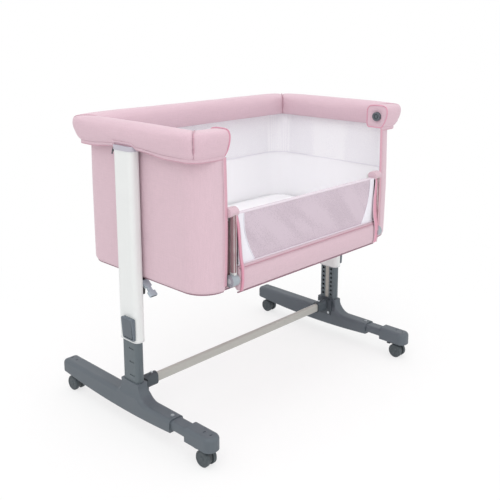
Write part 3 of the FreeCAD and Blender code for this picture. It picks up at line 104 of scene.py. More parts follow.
def white_seen_directly(tree, shade, room):
    """Show plain white to the eye, to mirrors and through glass, and light the room by shade."""
    path = add(tree, "ShaderNodeLightPath")
    seen = path.outputs["Is Camera Ray"]
    for ray in ("Is Glossy Ray", "Is Transmission Ray"):
        seen = add(tree, "ShaderNodeMath", {0: seen, 1: path.outputs[ray]},
                   operation="MAXIMUM").outputs[0]
    return add(tree, "ShaderNodeMixShader", {0: seen, 1: room.outputs[0], 2: shade.outputs[0]})


world = bpy.data.worlds.new("bright_room")
bpy.context.scene.world = world
world.use_nodes = True
world.node_tree.nodes.clear()
room_light, white_room = [add(world.node_tree, "ShaderNodeBackground",
                              {"Color": (1, 1, 1, 1), "Strength": strength})
                          for strength in (0.88, 1.0)]
add(world.node_tree, "ShaderNodeOutputWorld",
    {"Surface": white_seen_directly(world.node_tree, white_room, room_light).outputs[0]})

floor_mesh = bpy.data.meshes.new("studio_floor")
floor_mesh.from_pydata([(-9, -9, 0), (9, -9, 0), (9, 9, 0), (-9, 9, 0)], [], [(0, 1, 2, 3)])
floor = in_scene("studio_floor", floor_mesh)
floor_paint, tree = blank("matt_white_floor")
floor_shade = add(tree, "ShaderNodeBsdfDiffuse", {"Color": linear("#fbfbfb")})
plain_white = add(tree, "ShaderNodeEmission", {"Color": (1, 1, 1, 1), "Strength": 1.0})
seen_white = white_seen_directly(tree, plain_white, floor_shade)
spread = add(tree, "ShaderNodeVectorMath",
             {0: add(tree, "ShaderNodeTexCoord").outputs["Object"]}, operation="LENGTH")
far_off = add(tree, "ShaderNodeMapRange", {"Value": spread.outputs["Value"], "From Min": 0.6,
                                           "From Max": 1.5, "To Min": 0.7},
              interpolation_type="SMOOTHSTEP")
floor_look = add(tree, "ShaderNodeMixShader", {0: far_off.outputs[0], 1: floor_shade.outputs[0],
                                               2: seen_white.outputs[0]})
add(tree, "ShaderNodeOutputMaterial", {"Surface": floor_look.outputs[0]})
floor_mesh.materials.append(floor_paint)

for lamp_name, place, size, power in (("large_soft_lamp", (-1.9, -1.4, 3.0), 2.6, 22),
                                      ("front_fill", (0.6, -3.2, 1.6), 2.2, 7),
                                      ("overhead_panel", (0.1, 0.1, 3.2), 2.4, 15)):
    lamp = in_scene(lamp_name, bpy.data.lights.new(lamp_name, "AREA"))
    lamp.data.shape = "DISK"
    lamp.data.size = size
    lamp.data.energy = power
    lamp.location = place
    look(lamp, Vector((0, 0, 0.45)) - Vector(place))


# ------------------------------------------------------------------ feet and their castors
# Each foot is one injection moulding of dark slate polypropylene with a fine spark-eroded
# grain; its sliding front end is the same plastic. The grain gives a soft, broken highlight.
def tinted(colour, tint):
    """A colour made a little darker, and the same colour made a little lighter."""
    parts = linear(colour)[:3]
    return [part * (1 - tint) for part in parts] + [1], \
        [min(part * (1 + tint), 1) for part in parts] + [1]


def shaded(material, inputs):
    """Finish a material with its one shader."""
    tree = material.node_tree
    shader = add(tree, "ShaderNodeBsdfPrincipled", inputs)
    add(tree, "ShaderNodeOutputMaterial", {"Surface": shader.outputs[0]})
    return material


def moulded(name, colour, roughness=0.5, grain=0.9, relief=0.05, tint=0.06, metallic=0.0,
            stretch=(1, 1, 1)):
    """A moulded, painted or drawn surface: fine grain in mm, faint cloudy colour, soft scuffs."""
    material, tree = blank(name)
    place = add(tree, "ShaderNodeTexCoord").outputs["Object"]
    drawn = add(tree, "ShaderNodeMapping", {"Vector": place, "Scale": stretch}).outputs[0]
    fine = add(tree, "ShaderNodeTexNoise", {"Vector": drawn, "Scale": 1000 / grain, "Detail": 2})
    cloud = add(tree, "ShaderNodeTexNoise", {"Vector": drawn, "Scale": 28, "Detail": 4})
    dark, light = tinted(colour, tint)
    shade = add(tree, "ShaderNodeMix", {0: cloud.outputs["Fac"], 6: dark, 7: light},
                data_type="RGBA")
    gloss = add(tree, "ShaderNodeMapRange", {"Value": cloud.outputs["Fac"], "From Min": 0.3,
                                             "From Max": 0.7, "To Min": roughness - 0.06,
                                             "To Max": roughness + 0.06})
    bump = add(tree, "ShaderNodeBump", {"Height": fine.outputs["Fac"], "Strength": 0.35,
                                        "Distance": relief * 0.001})
    return shaded(material, {"Base Color": shade.outputs[2], "Roughness": gloss.outputs[0],
                             "Metallic": metallic, "Normal": bump.outputs[0]})


def dress(material, *nodes):
    """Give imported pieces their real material."""
    for name in nodes:
        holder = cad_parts[name]
        for held in holder.material_slots:
            held.material = material


def both(*stems):
    """The names of the left and the right node of each pair."""
    return [f"{stem}_{side}" for stem in stems for side in ("left", "right")]


dress(moulded("slate_polypropylene_grained", "#5b636a", 0.5, 1.1, 0.10),
      *both("foot", "foot_extension"))
dress(moulded("pale_acetal_button", "#9ea6aa", 0.38), *both("extension_button"))
dress(moulded("black_nylon_moulded", "#3a3f43", 0.45, 0.8, 0.06),
      *both("castor_housing_front", "castor_housing_rear", "brake_lever"))
dress(moulded("grey_polyurethane_tread", "#474f53", 0.55, 1.4, 0.08),
      *both("castor_wheels_front", "castor_wheels_rear"))

# ------------------------------------------------------------------ lower posts and cross bar
# The inner legs are drawn aluminium tubes, anodised grey, with a pale PVC strip let into the
# inner face. The cross bar between the feet is satin powder-coated steel in two nylon sockets.
dress(moulded("grey_anodised_drawn_tube", "#636c71", 0.42, 2.0, 0.03, 0.04, 0.35, (1, 1, 0.02)),
      *both("lower_post"))
dress(moulded("pale_pvc_strip", "#b0aea6", 0.5, 2.0, 0.03), "post_strips")
dress(moulded("white_acetal_glide", "#dadcdc", 0.35), "post_glides", "post_bushings")
dress(moulded("satin_powder_coat_bar", "#bcbcb6", 0.42, 1.6, 0.05, 0.03), "cross_bar")
dress(moulded("glass_filled_nylon_socket", "#4b5359", 0.55, 1.0, 0.12), "bar_sockets")
dress(moulded("bright_zinc_plated_steel", "#c8ccd0", 0.32, 0.9, 0.03, 0.05, 1.0),
      "stand_screws", "frame_bolts", "elbow_pins", *both("latch_bolt"))

# ------------------------------------------------------------------ outer posts and release
# The outer legs are flat-oval steel tubes, powder coated pale grey with a faint orange-peel
# texture. The height release on each is a satin ABS lever in a frame of the same plastic.
dress(moulded("pale_grey_powder_coat", "#e4e6e5", 0.40, 2.2, 0.05, 0.02), *both("outer_post"))
dress(moulded("satin_grey_abs", "#575f67", 0.38, 1.0, 0.05), *both("release_lever"))
dress(moulded("slate_abs_frame", "#646d76", 0.42, 1.0, 0.05), "release_housings")

# ------------------------------------------------------------------ caps, rim tube, receivers
# A moulded pale grey ABS cap closes each outer post and holds the rim tube in its saddle. The
# rim tube is painted steel; each of its ends carries a round nylon receiver for the gate.
dress(moulded("blue_grey_abs_cap", "#bcb8c3", 0.45, 1.0, 0.06), "post_caps")
dress(moulded("white_stoved_enamel_steel", "#dcdcda", 0.35, 2.0, 0.03, 0.02),
      "top_frame_tube", "base_frame_tube", "gate_rail", "gate_arms", "gate_posts")
dress(moulded("dark_nylon_receiver", "#5a6268", 0.45), "rail_receivers")
dress(moulded("silver_painted_abs_hub", "#a4acb3", 0.32, 0.9, 0.03, 0.05, 0.45), "gate_hubs")
dress(moulded("light_acetal_hub_button", "#b4bbbf", 0.32), *both("gate_button"))
dress(moulded("raw_birch_board", "#c9ab84", 0.6, 3.0, 0.10, 0.12, 0, (0.06, 1, 1)), "base_board")


# ------------------------------------------------------------------ bassinet cover and lining
# The cover is a sewn tub: pink linen-look polyester outside, white knitted lining inside with a
# band of open mesh above the seam. It hangs from the rim and has a soft rounded bottom edge.
MM = 0.001
COVER_END, COVER_FRONT, COVER_BACK = 425, -268, 238
COVER_LOW, COVER_TOP = 437, 795
CORNER, HEEL, CLOTH = 70, 12, 3
GAP, BARRIER_FACE, LIP_TOP = 345, -255.3, 464
MIDDLE_Y = (COVER_FRONT + COVER_BACK) / 2
SEAM_Z, SEAM_DENT = 655, 1.4
WALL_STEPS, HEEL_STEPS = 24, 8
CORD_CLOTH = ((1.0, 5), 0.25, 0.06, 0.75, 0.2)
TAPE_CLOTH = ((1.0, 4), 0.25, 0.08, 0.7, 0.15)


def piece(name, points, faces, *materials, slots=None):
    """A finished smooth mesh from points in mm, closed up and facing outwards."""
    mesh = bpy.data.meshes.new(name)
    mesh.from_pydata([Vector(point) * MM for point in points], [], faces)
    for material in materials:
        mesh.materials.append(material)
    if slots:
        mesh.polygons.foreach_set("material_index", slots)
    work = bmesh.new()
    work.from_mesh(mesh)
    bmesh.ops.remove_doubles(work, verts=work.verts, dist=2e-6)
    bmesh.ops.recalc_face_normals(work, faces=work.faces)
    for edge in work.edges:
        edge.smooth = edge.calc_face_angle(0) < math.radians(48)
    work.to_mesh(mesh)
    work.free()
    mesh.polygons.foreach_set("use_smooth", [True] * len(mesh.polygons))
    return in_scene(name, mesh)


def as_one(name, parts):
    """Several pieces sewn or fixed to each other, as one piece."""
    bpy.ops.object.select_all(action="DESELECT")
    for part in parts:
        part.select_set(True)
    bpy.context.view_layer.objects.active = parts[0]
    bpy.ops.object.join()
    parts[0].name = name
    return parts[0]


def skin(rings, round_ring=True, joined=False, lids=True):
    """Points and faces over a row of rings that have equal numbers of points."""
    count, rows = len(rings[0]), len(rings)
    points = [point for ring in rings for point in ring]
    faces = []
    for row in range(rows if joined else rows - 1):
        upper = (row + 1) % rows
        for place in range(count if round_ring else count - 1):
            beside = (place + 1) % count
            faces.append((row * count + place, row * count + beside,
                          upper * count + beside, upper * count + place))
    if lids and not joined:
        faces += [tuple(range(count)), tuple(range((rows - 1) * count, rows * count))]
    return points, faces


def around(steps):
    """The angles of even steps round a circle."""
    return [2 * math.pi * step / steps for step in range(steps)]


def row_across(half, y, z, steps):
    """Evenly spaced places from left to right at one depth and height."""
    return [(-half + 2 * half * step / steps, y, z) for step in range(steps + 1)]


def soft(value):
    """A smooth step from 0 to 1."""
    value = min(max(value, 0), 1)
    return value * value * (3 - 2 * value)


def ripple(x, y, z, size, seed=0.0):
    """Smooth noise from -1 to 1 with bumps of one size in mm."""
    return noise.noise(Vector((x / size + seed, y / size, z / size)))


def woven(name, colour, thread=(1.6, 34), relief=0.30, tint=0.07, roughness=0.85, sheen=0.25):
    """Linen-look cloth: slubby threads both ways, drawn coarse enough to show in a picture."""
    material, tree = blank(name)
    place = add(tree, "ShaderNodeTexCoord").outputs["Object"]
    across, along = 1000 / thread[0], 1000 / thread[1]
    rows = []
    for stretch in ((along, across, across), (across, along, across), (across, across, along)):
        drawn = add(tree, "ShaderNodeMapping", {"Vector": place, "Scale": stretch}).outputs[0]
        rows.append(add(tree, "ShaderNodeTexNoise", {"Vector": drawn, "Scale": 1.0,
                                                     "Detail": 1.5}).outputs["Fac"])
    weave = rows[0]
    for row in rows[1:]:
        weave = add(tree, "ShaderNodeMath", {0: weave, 1: row}, operation="ADD").outputs[0]
    level = add(tree, "ShaderNodeMapRange", {"Value": weave, "From Min": 1.15, "From Max": 1.85})
    dark, light = tinted(colour, tint)
    shade = add(tree, "ShaderNodeMix", {0: level.outputs[0], 6: dark, 7: light},
                data_type="RGBA")
    bump = add(tree, "ShaderNodeBump", {"Height": level.outputs[0], "Strength": 0.5,
                                        "Distance": relief * 0.001})
    return shaded(material, {"Base Color": shade.outputs[2], "Roughness": roughness,
                             "Sheen Weight": sheen, "Sheen Roughness": 0.5,
                             "Normal": bump.outputs[0]})


def net(name, thread_colour, hole_colour, cell=4.0, above=None):
    """Knitted mesh: round cells in a thread ground; below a given height it turns plain."""
    material, tree = blank(name)
    place = add(tree, "ShaderNodeTexCoord").outputs["Object"]
    cells = add(tree, "ShaderNodeTexVoronoi", {"Vector": place, "Scale": 1000 / cell,
                                               "Randomness": 0.25}).outputs["Distance"]
    hole = add(tree, "ShaderNodeMapRange", {"Value": cells, "From Min": 0.30,
                                            "From Max": 0.42, "To Min": 1, "To Max": 0})
    amount = hole.outputs[0]
    if above:
        height = add(tree, "ShaderNodeSeparateXYZ", {0: place}).outputs["Z"]
        upper = add(tree, "ShaderNodeMapRange", {"Value": height, "From Min": above - 0.001,
                                                 "From Max": above + 0.001})
        amount = add(tree, "ShaderNodeMath", {0: amount, 1: upper.outputs[0]},
                     operation="MULTIPLY").outputs[0]
    shade = add(tree, "ShaderNodeMix", {0: amount, 6: linear(thread_colour),
                                        7: linear(hole_colour)}, data_type="RGBA")
    threads = add(tree, "ShaderNodeMath", {0: 1.0, 1: amount}, operation="SUBTRACT")
    bump = add(tree, "ShaderNodeBump", {"Height": threads.outputs[0], "Strength": 0.5,
                                        "Distance": 0.0003})
    return shaded(material, {"Base Color": shade.outputs[2], "Roughness": 0.8,
                             "Sheen Weight": 0.2, "Normal": bump.outputs[0]})


def cord_along(name, path, radius, material, sides=8, joined=False):
    """A thin round cord that follows a path, such as piping or a zip's coil."""
    rows = len(path)
    spots = [Vector(spot) for spot in path]
    normal = None
    rings = []
    for index, spot in enumerate(spots):
        before = spots[index - 1] if index or joined else spot
        after = spots[(index + 1) % rows] if index < rows - 1 or joined else spot
        heading = (after - before).normalized()
        if normal is None:
            normal = heading.orthogonal().normalized()
        normal = (normal - heading * normal.dot(heading)).normalized()
        side = heading.cross(normal)
        rings.append([tuple(spot + radius * (math.cos(turn) * normal + math.sin(turn) * side))
                      for turn in around(sides)])
    return piece(name, *skin(rings, joined=joined), material)


def fixed(made, body, slot):
    """Let a finished piece ride on a body; the slot is not used."""
    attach(made, body)
    return made


pink_linen = woven("pink_linen_look_polyester", "#d4b8c2", tint=0.045)
white_lining = net("white_knitted_lining", "#fbfbfd", "#ecebf1", 3.4, above=SEAM_Z * MM)
white_binding = woven("white_cotton_binding", "#ebe9f0", (1.2, 6), 0.2, 0.03, 0.85, 0.2)
rose_tape = woven("rose_polyester_zip_tape", "#d697ab", *TAPE_CLOTH)
deep_piping = woven("deep_pink_piping", "#c99dac", *CORD_CLOTH)


def skirt_line(fan=12):
    """The tub's outline from the end of the left return round the back to the right one:
    places with the direction that faces outwards."""
    line = [(-GAP, COVER_FRONT, 0, -1)]
    corners = ((-1, COVER_FRONT + CORNER, 270), (-1, COVER_BACK - CORNER, 180),
               (1, COVER_BACK - CORNER, 90), (1, COVER_FRONT + CORNER, 0))
    for index, (hand, centre_y, start) in enumerate(corners):
        centre_x = hand * (COVER_END - CORNER)
        if index:
            last_x, last_y, nx, ny = line[-1]
            first_x = centre_x + CORNER * math.cos(math.radians(start))
            first_y = centre_y + CORNER * math.sin(math.radians(start))
            steps = 44 if index == 2 else 30
            line += [(last_x + (first_x - last_x) * step / steps,
                      last_y + (first_y - last_y) * step / steps, nx, ny)
                     for step in range(1, steps)]
        for step in range(fan + 1):
            angle = math.radians(start - 90 * step / fan)
            line.append((centre_x + CORNER * math.cos(angle),
                         centre_y + CORNER * math.sin(angle), math.cos(angle), math.sin(angle)))
    line.append((GAP, COVER_FRONT, 0, -1))
    return line


def hang(x, y, z, nx):
    """How far the hung cloth stands out of its plan: soft vertical folds and a slack belly."""
    down = (COVER_TOP - z) / (COVER_TOP - COVER_LOW)
    free = soft((abs(y) - 48) / 40) if abs(nx) > 0.5 else 1.0
    fold = 1.5 * ripple(x, y, z * 0.25, 62, 3.1) + 0.7 * ripple(x, y, z * 0.5, 24, 7.7)
    belly = 2.2 * math.sin(math.pi * min(max(down, 0), 1))
    return (fold * (0.35 + down) * 0.8 + belly) * free - 1.2 * (1 - free)


def heel_of(nx, ny):
    """The bottom edge turns in on a slightly larger curve at the corners."""
    return HEEL + 3 * abs(2 * nx * ny)


outline = skirt_line()
rings = []
for x, y, nx, ny in outline:
    heel = heel_of(nx, ny)
    low = COVER_LOW + heel
    outside, inside = [], []
    for step in range(WALL_STEPS + 1):
        z = COVER_TOP - (COVER_TOP - low) * step / WALL_STEPS
        out = hang(x, y, z, nx)
        outside.append((x + nx * out, y + ny * out, z))
    last = hang(x, y, low, nx)
    for step in range(1, HEEL_STEPS + 1):
        turn = math.radians(90 * step / HEEL_STEPS)
        out = last * math.cos(turn) - heel * (1 - math.cos(turn))
        outside.append((x + nx * out, y + ny * out, low - heel * math.sin(turn)))
    for step in range(HEEL_STEPS, -1, -1):
        turn = math.radians(90 * step / HEEL_STEPS)
        out = -CLOTH - (heel - CLOTH) * (1 - math.cos(turn))
        inside.append((x + nx * out, y + ny * out, low - (heel - CLOTH) * math.sin(turn)))
    for step in range(WALL_STEPS - 1, -1, -1):
        z = COVER_TOP - (COVER_TOP - low) * step / WALL_STEPS
        slack = 1.1 * ripple(x, y, z * 0.18, 105, 9.4) * soft((z - 540) / 200)
        out = 0.6 * hang(x, y, z, nx) - CLOTH - 1.1 + slack \
            - SEAM_DENT * math.exp(-((z - SEAM_Z) / 4) ** 2)
        inside.append((x + nx * out, y + ny * out, z))
    rings.append(outside + inside)
points, faces = skin(rings)
count, pink_points = len(rings[0]), WALL_STEPS + 1 + 2 * HEEL_STEPS
slots = [0 if len(face) > 4 or face[0] % count < pink_points else 1 for face in faces]
skirt = fixed(piece("cover_skirt_cloth", points, faces, pink_linen, white_lining, slots=slots),
              "bassinet", "cover_fabric")
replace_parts(skirt, "cover_left", "cover_back", "cover_right", "cover_returns")
round_length = sum(math.dist(first[:2], second[:2]) for first, second in zip(outline, outline[1:]))

# The bottom panel, and the low lip in front that the folded gate hangs before.
brim = [(x - nx * (heel_of(nx, ny) - 1), y - ny * (heel_of(nx, ny) - 1))
        for x, y, nx, ny in outline]
brim += [(GAP - 2 * GAP * step / 40, BARRIER_FACE + 2) for step in range(41)]
rings = []
for scale, lift in ((0.03, 0), (0.4, 0.4), (0.75, 0.2), (0.97, 0), (1.0, 0.6), (1.0, 2.4),
                    (0.97, 3), (0.75, 3.2), (0.4, 3.4), (0.03, 3)):
    rings.append([(x * scale, MIDDLE_Y + (y - MIDDLE_Y) * scale, COVER_LOW + lift)
                  for x, y in brim])
bottom = piece("cover_bottom_cloth", *skin(rings), pink_linen)
LIP_FOOT, LIP_BEND = 443, (22, 45, 67, 90)
profile = [(0, LIP_TOP), (0, LIP_FOOT)]
for radius, bend in ((6, LIP_BEND), (3, LIP_BEND[::-1])):
    profile += [(6 - radius * math.cos(math.radians(turn)),
                 LIP_FOOT - radius * math.sin(math.radians(turn))) for turn in bend]
profile += [(3, LIP_FOOT), (3, LIP_TOP)]
rings = [[(-GAP + 2 * GAP * step / 60,
           BARRIER_FACE + depth + 0.3 * ripple(-GAP + 12 * step, 0, z, 40), z)
          for depth, z in profile] for step in range(61)]
lip = piece("front_lip", *skin(rings), pink_linen)
# The bottom pipings are dark mauve: partly the piping's own colour, partly painted shade for the
# dark line along the bottom edges.
shaded_seam_cord = woven("mauve_piping_painted_shade", "#94727f", *CORD_CLOTH)
seam = cord_along("bottom_seam", [(x - nx * 6, y - ny * 6, COVER_LOW + 1.2)
                                  for x, y, nx, ny in outline], 1.9, shaded_seam_cord, 6)
front_seam = cord_along("front_seam", row_across(GAP, BARRIER_FACE + 1, COVER_LOW + 1, 40), 1.9,
                        shaded_seam_cord, 6)
tray = fixed(as_one("cover_tray_cloth", [bottom, lip, seam, front_seam]), "bassinet",
             "cover_fabric")
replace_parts(tray, "cover_bottom")

# The lining's raised seam, where its plain lower cloth joins the mesh band.
fixed(cord_along("lining_seam", [(x - nx * 5.6, y - ny * 5.6, SEAM_Z)
                                 for x, y, nx, ny in outline], 1.3, white_binding, 6),
      "bassinet", "cover_fabric")

# ------------------------------------------------------------------ mattress
# A foam slab in a zipped white jersey cover with piped edges. It lies loose on the board.
white_jersey = woven("white_jersey_cover", "#fafafc", (1.2, 9), 0.15, 0.02, 0.9, 0.3)
BED_X, BED_FRONT, BED_BACK, BED_TURN = 414, -236, 228, 55
PIPED_TOP, PIPED_FOOT = 493.0, 470.5
MOMENTS = 20


def slab_ring(half_x, low_y, high_y, turn, z, bow=0.0):
    """A rounded rectangle whose sides pull in a little between the corners."""
    ring = []
    middle = (low_y + high_y) / 2
    half_y = (high_y - low_y) / 2
    corners = ((-1, -1, 180), (1, -1, 270), (1, 1, 0), (-1, 1, 90))
    for index, (sx, sy, start) in enumerate(corners):
        for step in range(9):
            angle = math.radians(start + 90 * step / 8)
            x = sx * (half_x - turn) + turn * math.cos(angle)
            y = middle + sy * (half_y - turn) + turn * math.sin(angle)
            ring.append((x, y, z))
        nx, ny, start = corners[(index + 1) % 4]
        steps = 22 if sy == ny else 12
        ax, ay, _ = ring[-1]
        angle = math.radians(start)
        bx = nx * (half_x - turn) + turn * math.cos(angle)
        by = middle + ny * (half_y - turn) + turn * math.sin(angle)
        length = math.hypot(bx - ax, by - ay)
        for step in range(1, steps):
            share = step / steps
            pull = bow * math.sin(math.pi * share)
            ring.append((ax + (bx - ax) * share - (by - ay) / length * pull,
                         ay + (by - ay) * share + (bx - ax) / length * pull, z))
    return ring


def filled(made, grain, cap, held):
    """Swell a sewn pad by cloth simulation: it is blown up gently from a slightly smaller shape,
    its seams stay where they are held, and no point moves further than the cap, in mm."""
    bpy.ops.object.select_all(action="DESELECT")
    made.select_set(True)
    bpy.context.view_layer.objects.active = made
    remesh = made.modifiers.new("even", "REMESH")
    remesh.mode = "VOXEL"
    remesh.voxel_size = grain * MM
    bpy.ops.object.modifier_apply(modifier=remesh.name)
    mesh = made.data
    before = [vert.co.copy() for vert in mesh.vertices]
    sewn = made.vertex_groups.new(name="sewn")
    sewn.add([index for index, spot in enumerate(before) if held(spot / MM)], 1.0, "REPLACE")
    cloth = made.modifiers.new("cloth", "CLOTH")
    cloth.settings.quality = 4
    cloth.settings.use_pressure = True
    cloth.settings.uniform_pressure_force = 4
    cloth.settings.vertex_group_mass = sewn.name
    cloth.settings.effector_weights.gravity = 0
    cloth.collision_settings.use_collision = False
    cloth.point_cache.frame_start, cloth.point_cache.frame_end = 1, MOMENTS
    for moment in range(1, MOMENTS + 1):
        bpy.context.scene.frame_set(moment)
    shape = made.evaluated_get(bpy.context.evaluated_depsgraph_get()).to_mesh()
    after = [vert.co.copy() for vert in shape.vertices]
    made.modifiers.remove(cloth)
    bpy.context.scene.frame_set(1)
    for vert, start, finish in zip(mesh.vertices, before, after):
        step = finish - start
        if step.length > cap * MM:
            step *= cap * MM / step.length
        vert.co = start + step
    made.vertex_groups.clear()
    finer = made.modifiers.new("finer", "SUBSURF")
    finer.levels = finer.render_levels = 1
    bpy.ops.object.modifier_apply(modifier=finer.name)
    mesh.polygons.foreach_set("use_smooth", [True] * len(mesh.polygons))
    return made


rings = []
for inset, z in ((230, 466.4), (120, 466), (40, 466), (8, 466.6), (3, 468.5), (0.6, 472),
                 (0, 478), (0, 486), (0.6, 491), (3, 494.5), (8, 496.5), (18, 497.6),
                 (40, 498.4), (80, 499), (130, 499.4), (190, 499.6), (225, 499.6)):
    turn = max(BED_TURN - inset, 3)
    rings.append(slab_ring(BED_X - inset, BED_FRONT + inset, BED_BACK - inset, turn, z, 2.2))
points, faces = skin(rings)
points = [(x, y, z + (0.5 * ripple(x, y, 0, 70, 1.3) + 0.25 * ripple(x, y, 0, 26) if z > 490
                      else 0)) for x, y, z in points]
mattress = filled(piece("mattress_padded", points, faces, white_jersey), 6, 2.5,
                  lambda spot: spot.z < 470 or abs(spot.z - 492.5) < 3.2 and spot.z < 494)
fixed(mattress, "bed", "mattress_fabric")
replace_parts(mattress, "mattress")
for level in (PIPED_TOP, PIPED_FOOT):
    path = slab_ring(BED_X + 0.6, BED_FRONT - 0.6, BED_BACK + 0.6, BED_TURN - 1, level, 2.2)
    fixed(cord_along(f"mattress_piping_{int(level)}", path, 1.7, white_jersey, joined=True),
          "bed", "mattress_fabric")

# ------------------------------------------------------------------ padded rim
# Foam sleeves in pale pink cloth wrap the rim tube: back, two sides and two short returns.
# They meet in mitred seams, and a rolled hem runs round them, lifted over the post caps.
RIM_END, RIM_FRONT, RIM_BACK = 466, -288, 263
RIM_LOW, RIM_HIGH, PAD_WIDTH = 795, 866, 75
RIM_TURN, INNER_TURN, RETURN_END, MOUTH = 60, 8, 343, 14.4
CAP_TOP, CAP_HALF, HEM_RISE = 806.5, 43, 6
RIM_MID = (RIM_LOW + RIM_HIGH) / 2
HALF_HIGH, HALF_WIDE = (RIM_HIGH - RIM_LOW) / 2, PAD_WIDTH / 2
pale_rim_linen = woven("pale_pink_rim_linen", "#d4b6c1", tint=0.045)
PAD_SECTION = ((0.42, -0.99), (0.62, -0.76), (0.79, -0.44), (0.92, -0.08), (0.99, 0.28),
               (0.98, 0.62), (0.84, 0.88), (0.56, 0.985), (0.15, 1.0), (-0.35, 0.985),
               (-0.75, 0.89), (-0.96, 0.6), (-1.0, 0.15), (-1.0, -0.4), (-0.97, -0.82),
               (-0.8, -0.99), (-0.3, -1.0), (0.1, -1.0))


def rounded(knots, between):
    """A closed smooth line through the knots of a section."""
    found = []
    total = len(knots)
    for index in range(total):
        a, b, c, d = (Vector(knots[(index + shift) % total]) for shift in (-1, 0, 1, 2))
        for step in range(between):
            t = step / between
            found.append(0.5 * (2 * b + (c - a) * t + (2 * a - 5 * b + 4 * c - d) * t * t
                                + (3 * b - a - 3 * c + d) * t ** 3))
    return found


def rim_corner(hand, back, angle):
    """Where the pad's inner and outer edge are, at an angle round one corner of the plan."""
    outer_y = RIM_BACK - RIM_TURN if back else RIM_FRONT + RIM_TURN
    inner_x = RIM_END - PAD_WIDTH - INNER_TURN
    inner_y = RIM_BACK - PAD_WIDTH - INNER_TURN if back else RIM_FRONT + PAD_WIDTH + INNER_TURN
    turn = math.radians(angle)
    heading = Vector((math.cos(turn), math.sin(turn)))
    outer = Vector((hand * (RIM_END - RIM_TURN), outer_y)) + RIM_TURN * heading
    inner = Vector((hand * inner_x, inner_y)) + INNER_TURN * heading
    return inner, outer


def rim_run(first, last, straight, fan=10):
    """The pairs of inner and outer points along one pad, from mitre to mitre."""
    hand, back, start, stop = first
    pairs = [rim_corner(hand, back, start + (stop - start) * step / fan) for step in range(fan)]
    begin = rim_corner(hand, back, stop)
    if last:
        hand, back, start, stop = last
        finish = rim_corner(hand, back, start)
    else:
        finish = (Vector((hand * RETURN_END, RIM_FRONT + PAD_WIDTH)),
                  Vector((hand * RETURN_END, RIM_FRONT)))
    pairs += [(begin[0].lerp(finish[0], step / straight), begin[1].lerp(finish[1], step / straight))
              for step in range(straight + 1)]
    if last:
        pairs += [rim_corner(hand, back, start + (stop - start) * step / fan)
                  for step in range(1, fan + 1)]
    return pairs


def rim_hem(y, x):
    """The lowest height of the pad: it rises towards each post and is drawn up over its cap."""
    if abs(x) < RIM_END - PAD_WIDTH - 2:
        return RIM_LOW
    notch = (CAP_TOP - RIM_LOW) * (1 - soft((abs(y) - CAP_HALF) / 7))
    return RIM_LOW + max(notch, HEM_RISE * (1 - soft((abs(y) - CAP_HALF) / 130)))


def rim_pad(name, pairs, open_end):
    """One padded sleeve; the cloth is drawn in at each mitre seam and puckers beside it."""
    section = rounded(PAD_SECTION, 3)
    shrink = 0.965
    middles = [(inner + outer) / 2 for inner, outer in pairs]
    travel = [0.0]
    for before, after in zip(middles, middles[1:]):
        travel.append(travel[-1] + (after - before).length)
    rings = []
    for (inner, outer), gone in zip(pairs, travel):
        left = travel[-1] - gone
        near = gone if open_end else min(gone, left)
        pinch = shrink * (1 - 0.06 * math.exp(-(near / 4.5) ** 2))
        middle, reach = (inner + outer) / 2, (outer - inner) / 2
        ring = []
        for across, up in section:
            turn = math.atan2(up, across)
            pucker = 1 + 0.012 * math.sin(9 * turn + gone) * math.exp(-near / 22)
            hold = pinch * pucker if up > -0.5 else pucker
            spot = middle + reach * across * hold
            z = RIM_MID + HALF_HIGH * up * hold
            swell = 0.9 * ripple(spot.x, spot.y, z, 55, 5.0) + 0.35 * ripple(spot.x, spot.y, z, 20)
            if up > -0.6:
                spot = spot + reach.normalized() * across * swell
                z += up * swell
            least = rim_hem(spot.y, spot.x) if across > -0.25 else RIM_LOW + 1
            ring.append((spot.x, spot.y, max(z, least)))
        rings.append(ring)
    if open_end:
        hand = math.copysign(1, pairs[-1][0].x)
        centre = Vector((hand * RETURN_END, RIM_FRONT + HALF_WIDE, RIM_MID))
        last = [Vector(spot) for spot in rings[-1]]
        for share, depth in ((0.9, 0.8), (0.6, 1.4)):
            rings.append([tuple(centre.lerp(spot, share) - Vector((hand * depth, 0, 0)))
                          for spot in last])
        turns = [math.atan2(spot.z - RIM_MID, spot.y - centre.y) for spot in last]
        rings.append([(centre.x + hand * 2, centre.y + MOUTH * math.cos(turn),
                       RIM_MID + MOUTH * math.sin(turn)) for turn in turns])
    made = piece(name, *skin(rings), pale_rim_linen)
    if open_end:
        return made
    planes = [(Vector((*pair[0], 0)), (Vector((*pair[1], 0)) - Vector((*pair[0], 0))).normalized())
              for pair in (pairs[0], pairs[-1])]

    def held(spot):
        flat = Vector((spot.x, spot.y, 0))
        return spot.z < RIM_LOW + 14 or any((flat - near).cross(way).length < 5
                                            for near, way in planes)
    return filled(made, 6, 3.0, held)


runs = {
    "rim_pad_left": rim_run((-1, False, 225, 180), (-1, True, 180, 135), 70),
    "rim_pad_back": rim_run((-1, True, 135, 90), (1, True, 90, 45), 90),
    "rim_pad_right": rim_run((1, True, 45, 0), (1, False, 0, -45), 70),
}
for pad_name, pairs in runs.items():
    pad = fixed(rim_pad(f"{pad_name}_sleeve", pairs, False), "bassinet", "rim_fabric")
    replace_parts(pad, pad_name)
ends = {hand: rim_run((hand, False, 270 + 45 * hand, 270), None, 10) for hand in (-1, 1)}
rim_returns = as_one("rim_pad_returns_sleeve",
                     [rim_pad(f"rim_return_{hand}", pairs, True) for hand, pairs in ends.items()])
fixed(rim_returns, "bassinet", "rim_fabric")
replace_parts(rim_returns, "rim_pad_returns")

# The rolled hem under the pads, its piping, and the cords in the mitres and round the ends.
OUTER_SIDE = [(up, across) for across, up in PAD_SECTION[:7]]
HEM_TALL, HEM_THICK = 9.5, 4.2


